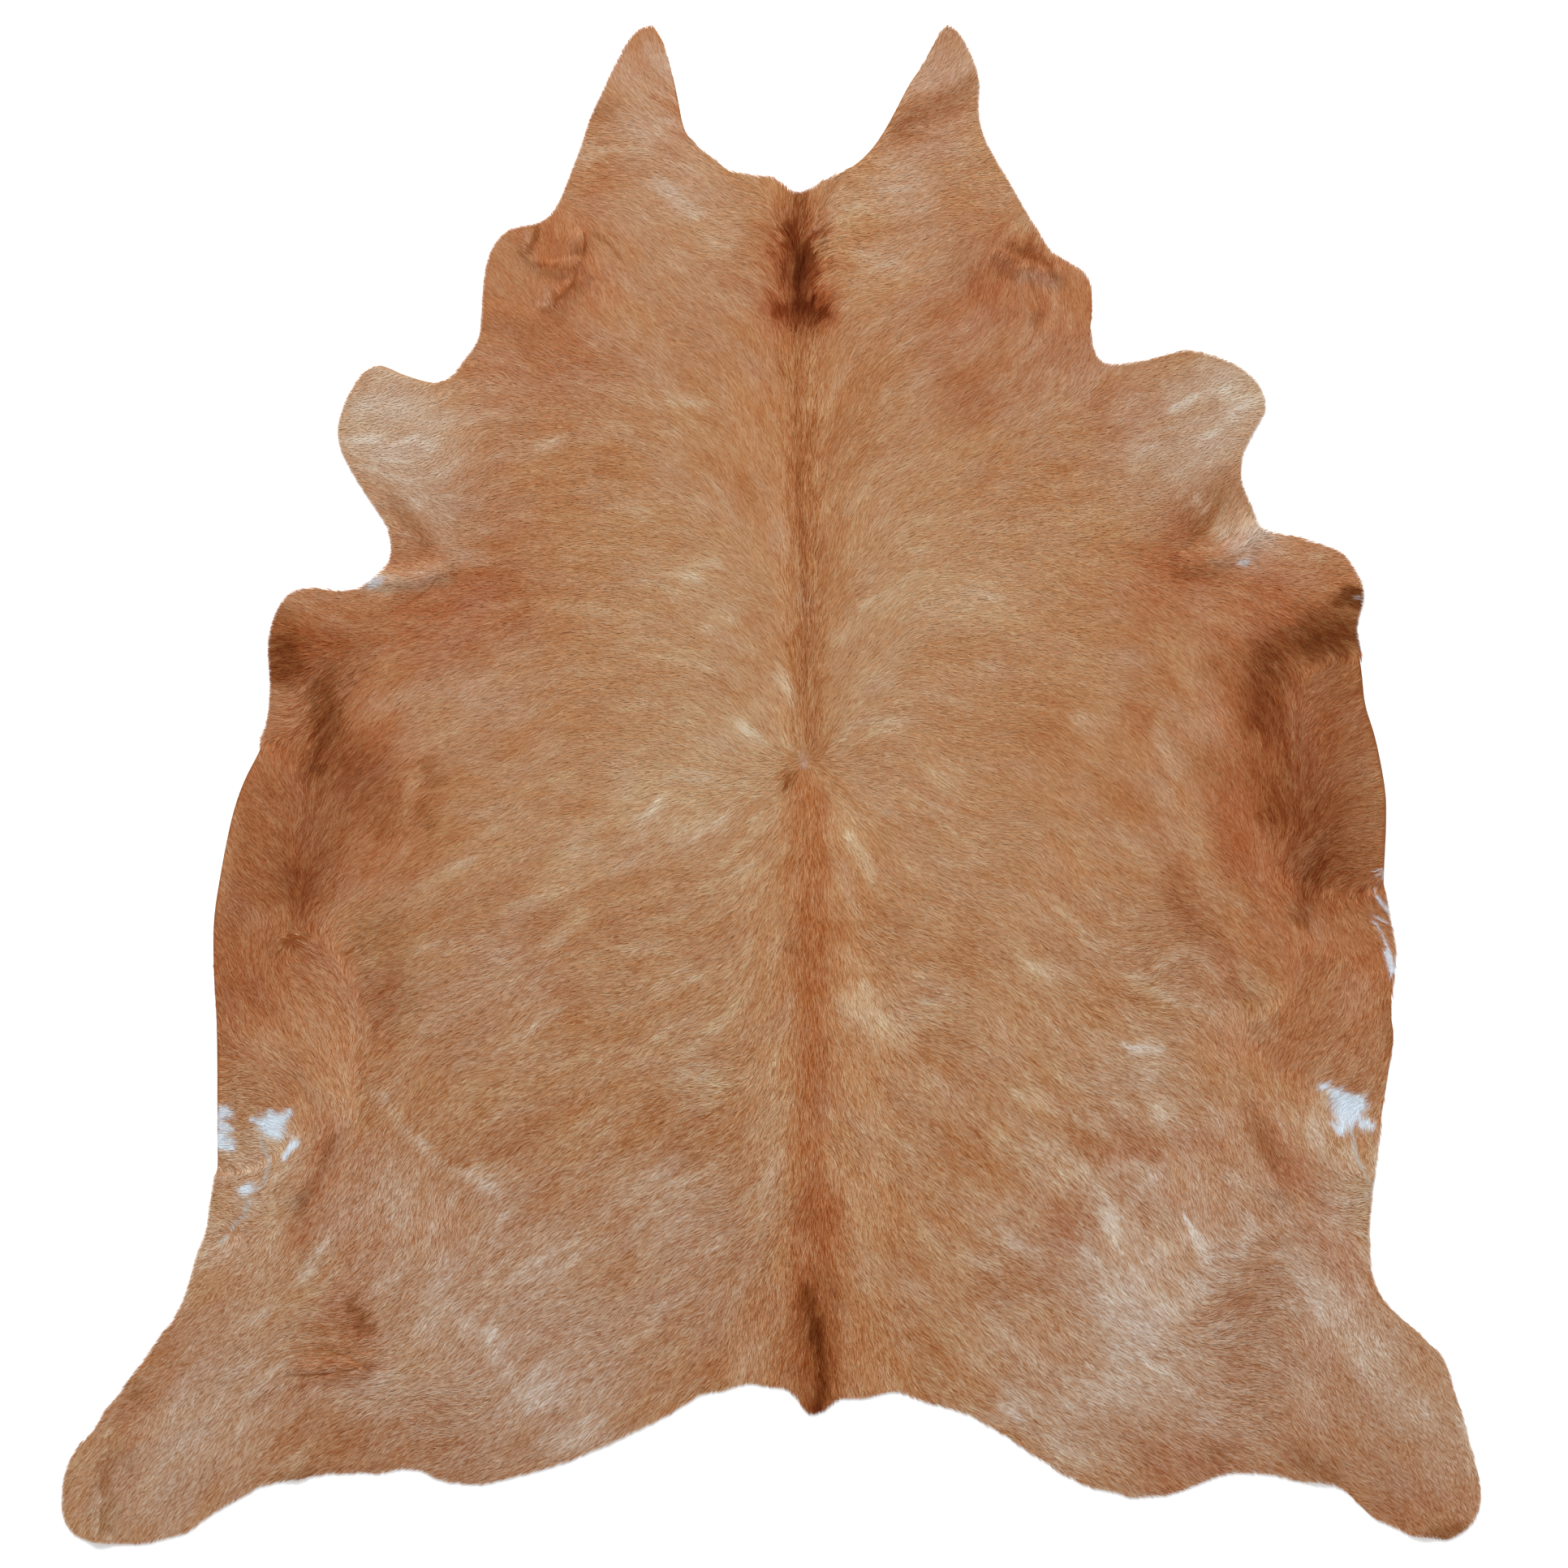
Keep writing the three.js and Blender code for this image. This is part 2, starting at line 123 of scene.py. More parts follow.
# How the hair lies. Each row is a place and the heading of the tips there, in degrees turned
# from +X (to the right) towards +Y (to the neck).
Lie = namedtuple("Lie", "across down heading")
LIES = {
    "left neck": [
        Lie(795, 50, 112), Lie(775, 60, 120), Lie(790, 100, 130), Lie(800, 130, 150),
        Lie(760, 185, 168), Lie(730, 250, 180), Lie(850, 250, 155), Lie(920, 270, 178),
        Lie(900, 315, 178), Lie(840, 350, 145), Lie(850, 440, 148), Lie(900, 450, 135),
        Lie(960, 430, 108), Lie(950, 400, 122), Lie(930, 360, 148), Lie(955, 300, 150),
    ],
    "left cheek": [
        Lie(740, 310, 130), Lie(720, 330, 120), Lie(650, 300, 150), Lie(640, 360, 128),
        Lie(650, 410, 140), Lie(690, 440, 155), Lie(620, 440, 150), Lie(610, 330, 135),
        Lie(670, 306, 96), Lie(690, 312, 92), Lie(706, 300, 80), Lie(676, 356, 110),
    ],
    "right neck": [
        Lie(1165, 50, 62), Lie(1180, 90, 55), Lie(1130, 130, 35), Lie(1190, 140, 20),
        Lie(1150, 185, 15), Lie(1070, 240, 2), Lie(1140, 260, 18), Lie(1040, 315, -20),
        Lie(1060, 365, 12), Lie(1150, 360, 25), Lie(1210, 260, -10), Lie(1050, 440, 40),
        Lie(1005, 435, 66), Lie(1015, 400, 58), Lie(1150, 450, 32), Lie(1010, 300, 30),
        Lie(1020, 345, 20),
    ],
    "right cheek": [
        Lie(1230, 350, 75), Lie(1282, 370, 115), Lie(1320, 390, 105), Lie(1300, 340, 100),
        Lie(1250, 310, 60), Lie(1230, 420, 45), Lie(1310, 440, 60),
    ],
    "spine": [
        Lie(985, 260, 90), Lie(985, 320, 90), Lie(985, 380, 90), Lie(988, 430, 90),
        Lie(990, 500, 90), Lie(990, 570, 90), Lie(990, 640, 90), Lie(991, 710, 90),
        Lie(991, 780, 90), Lie(991, 850, 90), Lie(991, 900, 90), Lie(992, 975, 270),
        Lie(995, 1030, 270), Lie(998, 1100, 270), Lie(1000, 1170, 270), Lie(1000, 1240, 270),
        Lie(1000, 1310, 270), Lie(1000, 1380, 270), Lie(1000, 1450, 270), Lie(1000, 1520, 270),
        Lie(1000, 1590, 270), Lie(1000, 1660, 270), Lie(1002, 1720, 270),
    ],
    "left body": [
        Lie(955, 480, 112), Lie(950, 540, 118), Lie(930, 600, 125), Lie(955, 650, 115),
        Lie(820, 600, 162), Lie(930, 730, 142), Lie(955, 790, 122), Lie(960, 850, 125),
        Lie(930, 860, 138), Lie(860, 520, 150), Lie(740, 480, 165), Lie(700, 600, 178),
        Lie(640, 800, 202), Lie(750, 780, 180), Lie(840, 835, 168), Lie(650, 850, 198),
        Lie(860, 700, 160), Lie(650, 520, 192), Lie(690, 700, 186), Lie(780, 660, 172),
        Lie(760, 900, 182), Lie(860, 930, 172), Lie(920, 920, 155), Lie(940, 960, 200),
        Lie(560, 860, 205), Lie(620, 640, 195),
    ],
    "left brisket": [
        Lie(560, 560, 222), Lie(520, 650, 145), Lie(480, 520, 205), Lie(440, 540, 190),
        Lie(470, 600, 165), Lie(520, 500, 215), Lie(580, 480, 200),
    ],
    "left knee": [
        Lie(560, 740, 205), Lie(500, 690, 180), Lie(460, 840, 222), Lie(420, 750, 165),
        Lie(370, 760, 150), Lie(345, 800, 190), Lie(340, 870, 180), Lie(480, 760, 195),
        Lie(566, 696, 178), Lie(600, 730, 190),
        Lie(400, 850, 230), Lie(430, 870, 235),
    ],
    "right body": [
        Lie(1020, 480, 68), Lie(1022, 540, 62), Lie(1020, 600, 65), Lie(1020, 660, 66),
        Lie(1020, 730, 62), Lie(1022, 800, 58), Lie(1020, 860, 55), Lie(1060, 540, 38),
        Lie(1100, 550, 25), Lie(1150, 650, 17), Lie(1180, 775, 0), Lie(1180, 840, -15),
        Lie(1070, 840, 35), Lie(1060, 740, 36), Lie(1240, 530, 27), Lie(1350, 540, 12),
        Lie(1290, 640, 0), Lie(1250, 720, -8), Lie(1100, 900, 5), Lie(1060, 920, 15),
        Lie(1040, 960, -40), Lie(1130, 930, -28), Lie(1240, 860, -4), Lie(1350, 820, -28),
        Lie(1320, 740, -18), Lie(1400, 640, 5), Lie(1210, 610, 14),
    ],
    "right brisket": [
        Lie(1490, 620, 55), Lie(1520, 640, 65), Lie(1450, 560, 20), Lie(1500, 500, 15),
        Lie(1540, 520, 5), Lie(1440, 480, 20), Lie(1500, 570, 30),
    ],
    "right knee": [
        Lie(1400, 720, -25), Lie(1450, 760, -35), Lie(1475, 830, -52), Lie(1550, 850, -60),
        Lie(1480, 700, -10), Lie(1560, 700, -15), Lie(1620, 700, -5), Lie(1660, 760, -30),
        Lie(1600, 780, -40), Lie(1650, 850, 205), Lie(1530, 760, -35),
    ],
    "left flank": [
        Lie(300, 960, -60), Lie(320, 1030, -48), Lie(340, 960, -60), Lie(345, 1090, -45),
        Lie(390, 930, 240), Lie(392, 1020, 245), Lie(395, 1100, 240), Lie(460, 940, 215),
        Lie(460, 1030, 225), Lie(530, 920, 208), Lie(600, 950, 207), Lie(660, 1070, 210),
        Lie(540, 1050, 213), Lie(450, 1150, 205), Lie(280, 1130, -55), Lie(330, 1160, -100),
        Lie(372, 1185, -30), Lie(280, 1250, -65), Lie(350, 1250, -50), Lie(415, 1230, -45),
        Lie(470, 1215, 205), Lie(280, 1325, -8), Lie(420, 1340, -62), Lie(330, 1300, -35),
        Lie(460, 1340, 225), Lie(540, 1230, 205),
    ],
    "middle": [
        Lie(760, 975, 188), Lie(920, 1040, 220), Lie(960, 1050, 242), Lie(820, 1150, 202),
        Lie(1020, 1040, -58), Lie(1100, 1140, -30), Lie(1250, 1010, -5), Lie(1265, 1050, -25),
        Lie(1290, 1060, -55), Lie(1280, 960, -42), Lie(1350, 930, -38), Lie(1430, 930, -48),
        Lie(1200, 1180, -30), Lie(1350, 1220, -30), Lie(1330, 1255, -52), Lie(1380, 1060, -40),
        Lie(700, 1180, 205), Lie(840, 1060, 205), Lie(960, 1140, 246), Lie(1030, 1120, -62),
        Lie(1180, 1060, -28), Lie(880, 1180, 212), Lie(1150, 980, -25), Lie(665, 1140, 190),
    ],
    "right flank": [
        Lie(1500, 920, -62), Lie(1585, 980, -75), Lie(1575, 900, -72), Lie(1622, 900, 238),
        Lie(1622, 980, 243), Lie(1670, 940, 205), Lie(1670, 1000, 197), Lie(1670, 1065, 186),
        Lie(1580, 1120, -55), Lie(1530, 1120, -45), Lie(1620, 1060, 235), Lie(1635, 1140, 292),
        Lie(1680, 1150, -60), Lie(1695, 1130, -35), Lie(1630, 1200, 235), Lie(1460, 1040, -52),
        Lie(1460, 1170, -10), Lie(1430, 1190, 20), Lie(1500, 1190, -38), Lie(1550, 1210, -32),
        Lie(1680, 1230, 262), Lie(1650, 1260, 220), Lie(1570, 1270, 240), Lie(1520, 1310, -47),
        Lie(1600, 1370, -55), Lie(1690, 1300, 240), Lie(1660, 1340, 215),
    ],
    "left hind": [
        Lie(600, 1300, 203), Lie(660, 1340, 212), Lie(450, 1430, 247), Lie(510, 1450, 245),
        Lie(520, 1500, 256), Lie(640, 1540, 222), Lie(680, 1590, 217), Lie(410, 1440, 242),
        Lie(350, 1470, 215), Lie(300, 1400, -10), Lie(310, 1490, 165), Lie(283, 1520, 200),
        Lie(340, 1530, 240), Lie(300, 1600, 225), Lie(200, 1750, 228), Lie(250, 1830, 233),
        Lie(160, 1710, 205), Lie(420, 1635, 190), Lie(430, 1675, 188), Lie(350, 1750, 228),
        Lie(450, 1770, 217), Lie(540, 1740, 190), Lie(590, 1800, 212), Lie(680, 1740, 217),
        Lie(110, 1800, 232), Lie(120, 1870, 240), Lie(560, 1400, 225), Lie(580, 1620, 222),
        Lie(480, 1600, 225), Lie(730, 1450, 212), Lie(760, 1560, 215), Lie(760, 1680, 215),
        Lie(700, 1250, 206),
    ],
    "rump": [
        Lie(860, 1250, 205), Lie(870, 1320, 190), Lie(850, 1420, 217), Lie(860, 1490, 200),
        Lie(955, 1480, 240), Lie(920, 1530, 227), Lie(960, 1640, 255), Lie(830, 1620, 217),
        Lie(870, 1685, 225), Lie(955, 1250, 243), Lie(955, 1370, 243), Lie(925, 1690, 262),
        Lie(1040, 1400, -62), Lie(1150, 1350, -48), Lie(1150, 1430, -47), Lie(1160, 1260, -18),
        Lie(1240, 1260, -40), Lie(1060, 1600, -65), Lie(1240, 1600, -30), Lie(1040, 1270, -60),
        Lie(1260, 1470, -48), Lie(1250, 1505, -30), Lie(1250, 1740, -35), Lie(1150, 1540, -45),
        Lie(1165, 1685, -40), Lie(1080, 1700, -80), Lie(1050, 1500, -62), Lie(1290, 1370, -38),
        Lie(1160, 1600, -42), Lie(1030, 1700, -84),
    ],
    "right hind": [
        Lie(1370, 1315, -20), Lie(1420, 1520, -57), Lie(1470, 1450, -60), Lie(1580, 1470, -65),
        Lie(1430, 1380, -48), Lie(1620, 1460, -45), Lie(1640, 1480, -30), Lie(1670, 1480, 20),
        Lie(1640, 1530, -50), Lie(1510, 1620, 15), Lie(1550, 1600, -5), Lie(1590, 1610, -40),
        Lie(1650, 1640, -55), Lie(1740, 1650, -50), Lie(1450, 1590, -45), Lie(1450, 1680, -25),
        Lie(1550, 1710, -12), Lie(1620, 1730, -48), Lie(1660, 1740, -50), Lie(1750, 1780, -53),
        Lie(1420, 1770, -30), Lie(1760, 1850, -48), Lie(1360, 1640, -38), Lie(1330, 1740, -34),
        Lie(1520, 1790, -25), Lie(1680, 1570, -52), Lie(1370, 1450, -50), Lie(1640, 1400, -60),
        Lie(1680, 1420, -75), Lie(1800, 1820, -60), Lie(1690, 1850, -35),
    ],
}

# Crowns, from which the hair turns outward all round: place and how far the crown reaches.
Crown = namedtuple("Crown", "across down reach")
CROWNS = [
    Crown(990, 936, 40),
    Crown(358, 1160, 16),
    Crown(283, 1522, 18),
]

# Marks in the coat. Each row is a soft stroke: half its width in ruler steps, how strong it is
# from 0 to 1, and the places that it runs through. One place alone is a round spot.
Mark = namedtuple("Mark", "half strength run")
MARKS = {
    # Dark marks: dark brown hair in most places, and painted shade or shadow in the rows marked below.
    "dark": [
        Mark(24, 0.12, [(983, 256), (984, 330)]),
        Mark(22, 0.2, [(980, 378), (994, 386)]),
        Mark(9, 0.16, [(984, 250), (982, 300)]),
        Mark(8, 0.2, [(970, 274), (974, 286)]),
        Mark(3, 0.08, [(981, 400), (983, 560), (990, 700), (992, 860)]),
        Mark(16, 0.05, [(980, 410), (984, 560), (990, 700), (992, 900)]),
        Mark(7, 0.8, [(986, 312), (983, 338)]),
        Mark(18, 0.3, [(984, 300), (984, 344)]),
        Mark(7, 0.4, [(990, 326), (1004, 313)]),
        Mark(3.5, 0.5, [(982, 345), (985, 376)]),
        Mark(9, 0.26, [(962, 386), (984, 380), (1006, 384)]),
        Mark(8, 0.28, [(983, 350), (985, 386)]),
        Mark(7, 0.14, [(962, 322), (964, 344)]),
        Mark(8, 0.26, [(1000, 380), (1018, 388)]),
        Mark(24, 0.2, [(342, 770), (348, 830)]),
        Mark(15, 0.24, [(348, 794), (354, 824)]),
        Mark(18, 0.3, [(1620, 792), (1672, 784)]),
        Mark(7, 0.34, [(1642, 740), (1672, 733)]),
        Mark(10, 0.52, [(1666, 732), (1677, 740)]),
        Mark(26, 0.1, [(1616, 770), (1660, 768)]),
        Mark(30, 0.18, [(1580, 804), (1640, 780)]),
        Mark(13, 0.34, [(398, 850), (404, 872), (398, 898)]),
        Mark(5, 0.3, [(396, 914), (388, 930)]),
        Mark(28, 0.1, [(400, 850), (394, 930)]),
        Mark(36, 0.17, [(420, 930), (400, 1000), (376, 1080)]),
        Mark(14, 0.12, [(370, 1080), (362, 1150)]),
        Mark(28, 0.13, [(460, 960), (470, 1000)]),
        Mark(60, 0.09, [(330, 980), (300, 1180)]),
        Mark(26, 0.28, [(1560, 810), (1556, 880)]),
        Mark(30, 0.2, [(1566, 890), (1584, 990)]),
        Mark(26, 0.1, [(1630, 980), (1640, 1060)]),
        Mark(36, 0.1, [(1590, 990), (1620, 1060)]),
        Mark(13, 0.2, [(1618, 1070), (1612, 1098), (1600, 1130)]),
        Mark(12, 0.12, [(1560, 1000), (1574, 1012)]),
        Mark(50, 0.12, [(1650, 830), (1660, 1080)]),
        Mark(14, 0.08, [(1445, 1080), (1460, 1120), (1496, 1166)]),
        Mark(14, 0.08, [(1522, 1204), (1544, 1232)]),
        Mark(30, 0.1, [(396, 800), (430, 804)]),
        Mark(36, 0.09, [(470, 1150), (476, 1240)]),
        Mark(26, 0.08, [(1500, 826), (1540, 840)]),
        Mark(26, 0.08, [(1490, 936), (1530, 950)]),
        Mark(10, 0.1, [(532, 938), (540, 962)]),
        Mark(10, 0.12, [(522, 996), (534, 1014)]),
        Mark(10, 0.12, [(1498, 1790), (1512, 1792)]),
        # Painted shadow along the rim at the right foot and at the left of the rump.
        Mark(12, 0.25, [(1766, 1896), (1806, 1890)]),
        Mark(10, 0.15, [(350, 1824), (384, 1820)]),
        Mark(8, 0.12, [(1712, 1240), (1712, 1290)]),
        Mark(8, 0.1, [(266, 1230), (268, 1300)]),
        Mark(24, 0.07, [(1186, 326), (1200, 340)]),
        Mark(16, 0.1, [(1604, 1790), (1636, 1816)]),
        Mark(10, 0.1, [(152, 1704), (168, 1714)]),
        Mark(12, 0.08, [(134, 1792), (158, 1798)]),
        # Painted shade in the valley beside the left foot fold.
        Mark(8, 0.12, [(130, 1812), (132, 1850), (134, 1888)]),
        Mark(16, 0.07, [(1578, 820), (1596, 836)]),
        Mark(16, 0.07, [(1588, 904), (1600, 930)]),
        Mark(10, 0.07, [(386, 1134), (392, 1152)]),
        Mark(8, 0.07, [(960, 440), (966, 460)]),
        Mark(9, 0.22, [(438, 1604), (452, 1636)]),
        # Painted shade along the left and right stifle creases.
        Mark(6, 0.12, [(411, 1400), (396, 1440), (376, 1474), (368, 1500)]),
        Mark(12, 0.13, [(1549, 1384), (1558, 1404), (1572, 1428)]),
        Mark(14, 0.1, [(1108, 156), (1150, 132), (1192, 112)]),
        Mark(7, 0.1, [(738, 142), (756, 130)]),
        Mark(20, 0.12, [(1470, 640), (1500, 606)]),
        Mark(9, 0.1, [(486, 612), (506, 644), (522, 668)]),
        # Painted shade in the crease by the crown in the middle of the back.
        Mark(5, 0.16, [(976, 955), (969, 972)]),
        Mark(9, 0.3, [(994, 1594), (1004, 1648)]),
        Mark(8, 0.35, [(1006, 1630), (1013, 1700), (1005, 1738)]),
        Mark(24, 0.14, [(1008, 1590), (1010, 1730)]),
        Mark(8, 0.12, [(976, 1165), (990, 1180)]),
        # Painted shade in the creases and under the rolls of both cheeks.
        Mark(3.4, 0.34, [(661, 280), (657, 296), (649, 307)]),
        Mark(2.2, 0.12, [(638, 308), (650, 320), (664, 327), (690, 331), (706, 330), (716, 322)]),
        Mark(2, 0.12, [(717, 322), (722, 304), (719, 290)]),
        Mark(2.4, 0.16, [(728, 288), (748, 298), (764, 318)]),
        Mark(4, 0.2, [(708, 349), (696, 362), (685, 372)]),
        Mark(9, 0.12, [(1250, 306), (1280, 320), (1298, 328)]),
        Mark(6, 0.04, [(1266, 340), (1278, 366), (1284, 388)]),
        Mark(8, 0.08, [(1250, 312), (1272, 322), (1294, 330)]),
    ],
    "rust": [
        Mark(40, 0.4, [(1664, 810), (1684, 900)]),
        Mark(40, 0.38, [(300, 1440), (280, 1560)]),
        Mark(40, 0.2, [(420, 1440), (440, 1540)]),
        Mark(32, 0.75, [(984, 290), (984, 350)]),
        Mark(14, 0.55, [(961, 312), (963, 350)]),
        Mark(26, 0.9, [(962, 378), (1006, 382)]),
        Mark(12, 0.4, [(1010, 384), (1024, 386)]),
        Mark(14, 0.12, [(984, 965), (1000, 1010), (1000, 1500)]),
        Mark(30, 0.22, [(1004, 1500), (1006, 1730)]),
        Mark(60, 0.42, [(640, 330), (660, 400), (620, 420)]),
        Mark(30, 0.4, [(670, 296), (720, 330), (740, 350)]),
        Mark(16, 0.4, [(712, 346), (686, 384)]),
        Mark(36, 0.3, [(730, 240), (700, 290)]),
        Mark(70, 0.22, [(640, 470), (700, 430)]),
        Mark(54, 0.45, [(1240, 350), (1310, 390)]),
        Mark(20, 0.6, [(1236, 296), (1300, 326)]),
        Mark(24, 0.35, [(1226, 340), (1190, 400)]),
        Mark(9, 0.4, [(1284, 352), (1294, 392), (1300, 404)]),
        # Painted warm shade on the shaded side of the right cheek roll.
        Mark(12, 0.5, [(1236, 322), (1262, 342), (1302, 348)]),
        Mark(8, 0.5, [(1284, 380), (1280, 396)]),
        Mark(22, 0.35, [(1214, 350), (1240, 376)]),
        Mark(60, 0.24, [(1150, 400), (1200, 340)]),
        Mark(44, 0.28, [(1200, 480), (1320, 450), (1390, 510)]),
        Mark(56, 0.5, [(380, 770), (470, 770), (560, 760)]),
        Mark(40, 0.5, [(520, 780), (590, 736)]),
        Mark(20, 0.4, [(560, 744), (592, 726)]),
        Mark(26, 0.35, [(500, 690), (520, 700)]),
        Mark(60, 0.24, [(620, 640), (640, 740)]),
        Mark(64, 0.6, [(390, 820), (400, 920)]),
        Mark(60, 0.62, [(420, 960), (400, 1060)]),
        Mark(40, 0.4, [(490, 930), (480, 1060)]),
        Mark(52, 0.62, [(318, 940), (300, 1060), (290, 1200)]),
        Mark(34, 0.5, [(360, 1090), (366, 1190)]),
        Mark(60, 0.45, [(296, 1220), (304, 1310)]),
        Mark(50, 0.3, [(400, 1200), (430, 1290)]),
        Mark(18, 0.35, [(424, 1180), (432, 1226)]),
        Mark(16, 0.4, [(480, 1190), (468, 1280)]),
        Mark(16, 0.4, [(408, 1390), (392, 1470), (366, 1520)]),
        Mark(36, 0.1, [(350, 1340), (372, 1440)]),
        Mark(56, 0.55, [(1440, 712), (1560, 730)]),
        Mark(22, 0.5, [(1438, 692), (1458, 716)]),
        Mark(50, 0.36, [(1580, 716), (1640, 730)]),
        Mark(30, 0.35, [(1660, 690), (1610, 690)]),
        Mark(60, 0.6, [(1560, 790), (1580, 900)]),
        Mark(60, 0.7, [(1590, 900), (1610, 1060)]),
        Mark(50, 0.5, [(1660, 900), (1680, 1060)]),
        Mark(26, 0.6, [(1516, 990), (1522, 1064)]),
        Mark(40, 0.4, [(1520, 880), (1530, 960)]),
        Mark(22, 0.4, [(1448, 1076), (1470, 1130), (1520, 1190)]),
        Mark(60, 0.5, [(1640, 1120), (1670, 1300)]),
        Mark(30, 0.35, [(1560, 1150), (1590, 1180)]),
        Mark(16, 0.35, [(1596, 1240), (1588, 1310)]),
        Mark(26, 0.3, [(1500, 1280), (1560, 1300)]),
        Mark(20, 0.36, [(1548, 1370), (1566, 1410), (1590, 1450)]),
        Mark(22, 0.35, [(1590, 1440), (1640, 1520), (1680, 1590)]),
        Mark(14, 0.4, [(1304, 1500), (1312, 1534)]),
        Mark(14, 0.3, [(1392, 872), (1402, 896)]),
        Mark(12, 0.3, [(876, 1686), (884, 1690)]),
        Mark(30, 0.42, [(1460, 640), (1504, 604)]),
        Mark(16, 0.3, [(490, 620), (530, 680)]),
        Mark(26, 0.3, [(836, 120), (844, 170)]),
        Mark(40, 0.25, [(1140, 150), (1180, 120)]),
        Mark(40, 0.25, [(230, 1640), (150, 1760), (110, 1830)]),
        Mark(16, 0.3, [(388, 1120), (396, 1160)]),
        Mark(30, 0.3, [(1720, 1860), (1790, 1860)]),
        Mark(30, 0.3, [(1440, 1810), (1500, 1790)]),
        Mark(24, 0.35, [(420, 1600), (450, 1680), (390, 1690)]),
        Mark(12, 0.35, [(440, 1600), (452, 1640)]),
        Mark(20, 0.25, [(1380, 1420), (1500, 1400)]),
    ],
    "brown": [
        Mark(34, 0.4, [(796, 40), (786, 66)]),
        Mark(34, 0.2, [(1166, 40), (1150, 70)]),
        Mark(12, 0.3, [(974, 990), (978, 1060)]),
        Mark(20, 0.2, [(945, 1160), (955, 1200)]),
        Mark(14, 0.26, [(972, 1400), (974, 1460)]),
        Mark(24, 0.2, [(1400, 800), (1424, 824)]),
        Mark(10, 0.25, [(836, 130), (842, 160)]),
        Mark(24, 0.25, [(326, 1730), (342, 1750)]),
        Mark(30, 0.26, [(400, 780), (380, 810)]),
        Mark(40, 0.16, [(560, 620), (600, 660)]),
        Mark(40, 0.2, [(710, 300), (750, 320)]),
        Mark(36, 0.26, [(1510, 990), (1540, 1100)]),
        Mark(34, 0.26, [(950, 1010), (980, 1060)]),
        Mark(20, 0.3, [(1300, 1390), (1340, 1430)]),
        Mark(30, 0.2, [(620, 1400), (670, 1350)]),
        Mark(30, 0.2, [(1310, 880), (1340, 900)]),
        Mark(40, 0.22, [(640, 950), (560, 1000), (500, 1050)]),
        Mark(30, 0.2, [(560, 1130), (640, 1110)]),
        Mark(50, 0.18, [(640, 580), (700, 560)]),
        Mark(30, 0.24, [(1690, 1110), (1700, 1200)]),
        Mark(40, 0.2, [(1250, 1440), (1300, 1500)]),
        Mark(24, 0.25, [(1530, 1440), (1550, 1470)]),
        Mark(30, 0.2, [(1330, 370), (1310, 400)]),
        Mark(46, 0.3, [(960, 440), (950, 560), (990, 640), (1040, 690)]),
        Mark(40, 0.3, [(1040, 420), (1030, 560)]),
        Mark(40, 0.26, [(1060, 300), (1160, 260)]),
        Mark(30, 0.26, [(930, 300), (920, 400)]),
        Mark(40, 0.26, [(1430, 860), (1450, 990)]),
        Mark(36, 0.24, [(1560, 1000), (1560, 1080)]),
        Mark(40, 0.24, [(1070, 1120), (1180, 1160)]),
        Mark(30, 0.1, [(1380, 590), (1400, 560)]),
        Mark(24, 0.3, [(440, 580), (470, 600)]),
        Mark(40, 0.22, [(400, 1540), (540, 1550)]),
        Mark(20, 0.3, [(1320, 1480), (1350, 1560)]),
        Mark(30, 0.2, [(800, 1090), (880, 1140)]),
        Mark(30, 0.2, [(770, 1250), (800, 1340)]),
        Mark(30, 0.3, [(984, 250), (984, 380)]),
        Mark(22, 0.32, [(974, 410), (978, 480), (984, 560), (988, 700)]),
        Mark(20, 0.26, [(990, 560), (994, 690), (994, 830)]),
        Mark(18, 0.36, [(992, 800), (994, 880), (994, 930)]),
        Mark(16, 0.62, [(982, 960), (1000, 1000), (1000, 1200), (1000, 1500)]),
        Mark(34, 0.34, [(996, 970), (998, 1200), (1000, 1500)]),
        Mark(32, 0.55, [(1004, 1500), (1006, 1730)]),
        Mark(60, 0.3, [(990, 1640), (1010, 1720)]),
        Mark(30, 0.26, [(760, 566), (790, 556)]),
        Mark(30, 0.22, [(880, 590), (920, 600)]),
        Mark(22, 0.3, [(620, 690), (640, 760)]),
        Mark(30, 0.26, [(700, 470), (760, 450)]),
        Mark(40, 0.3, [(800, 1390), (880, 1400)]),
        Mark(24, 0.34, [(560, 1410), (640, 1400)]),
        Mark(30, 0.22, [(660, 1150), (700, 1240)]),
        Mark(24, 0.26, [(700, 1230), (680, 1250)]),
        Mark(30, 0.26, [(1170, 1290), (1190, 1420)]),
        Mark(26, 0.26, [(1180, 470), (1200, 500)]),
        Mark(22, 0.22, [(1100, 410), (1150, 420)]),
        Mark(26, 0.22, [(1350, 1260), (1380, 1240)]),
        Mark(40, 0.22, [(1300, 940), (1380, 980)]),
        Mark(20, 0.3, [(1340, 1410), (1400, 1412)]),
        Mark(26, 0.3, [(1290, 1560), (1230, 1580)]),
        Mark(50, 0.34, [(1540, 1600), (1520, 1660)]),
        Mark(24, 0.45, [(1480, 1632), (1520, 1616)]),
        Mark(30, 0.2, [(630, 1540), (650, 1544)]),
        Mark(30, 0.2, [(1320, 1090), (1350, 1110)]),
        Mark(40, 0.26, [(1600, 1680), (1640, 1720)]),
        Mark(60, 0.22, [(1660, 1780), (1740, 1800)]),
        Mark(50, 0.3, [(1440, 1800), (1600, 1790)]),
        Mark(40, 0.22, [(1660, 1810), (1720, 1860)]),
        Mark(40, 0.38, [(400, 1650), (440, 1680)]),
        Mark(40, 0.22, [(360, 1720), (400, 1760)]),
        Mark(50, 0.26, [(420, 1790), (620, 1800)]),
        Mark(26, 0.22, [(790, 1720), (860, 1680)]),
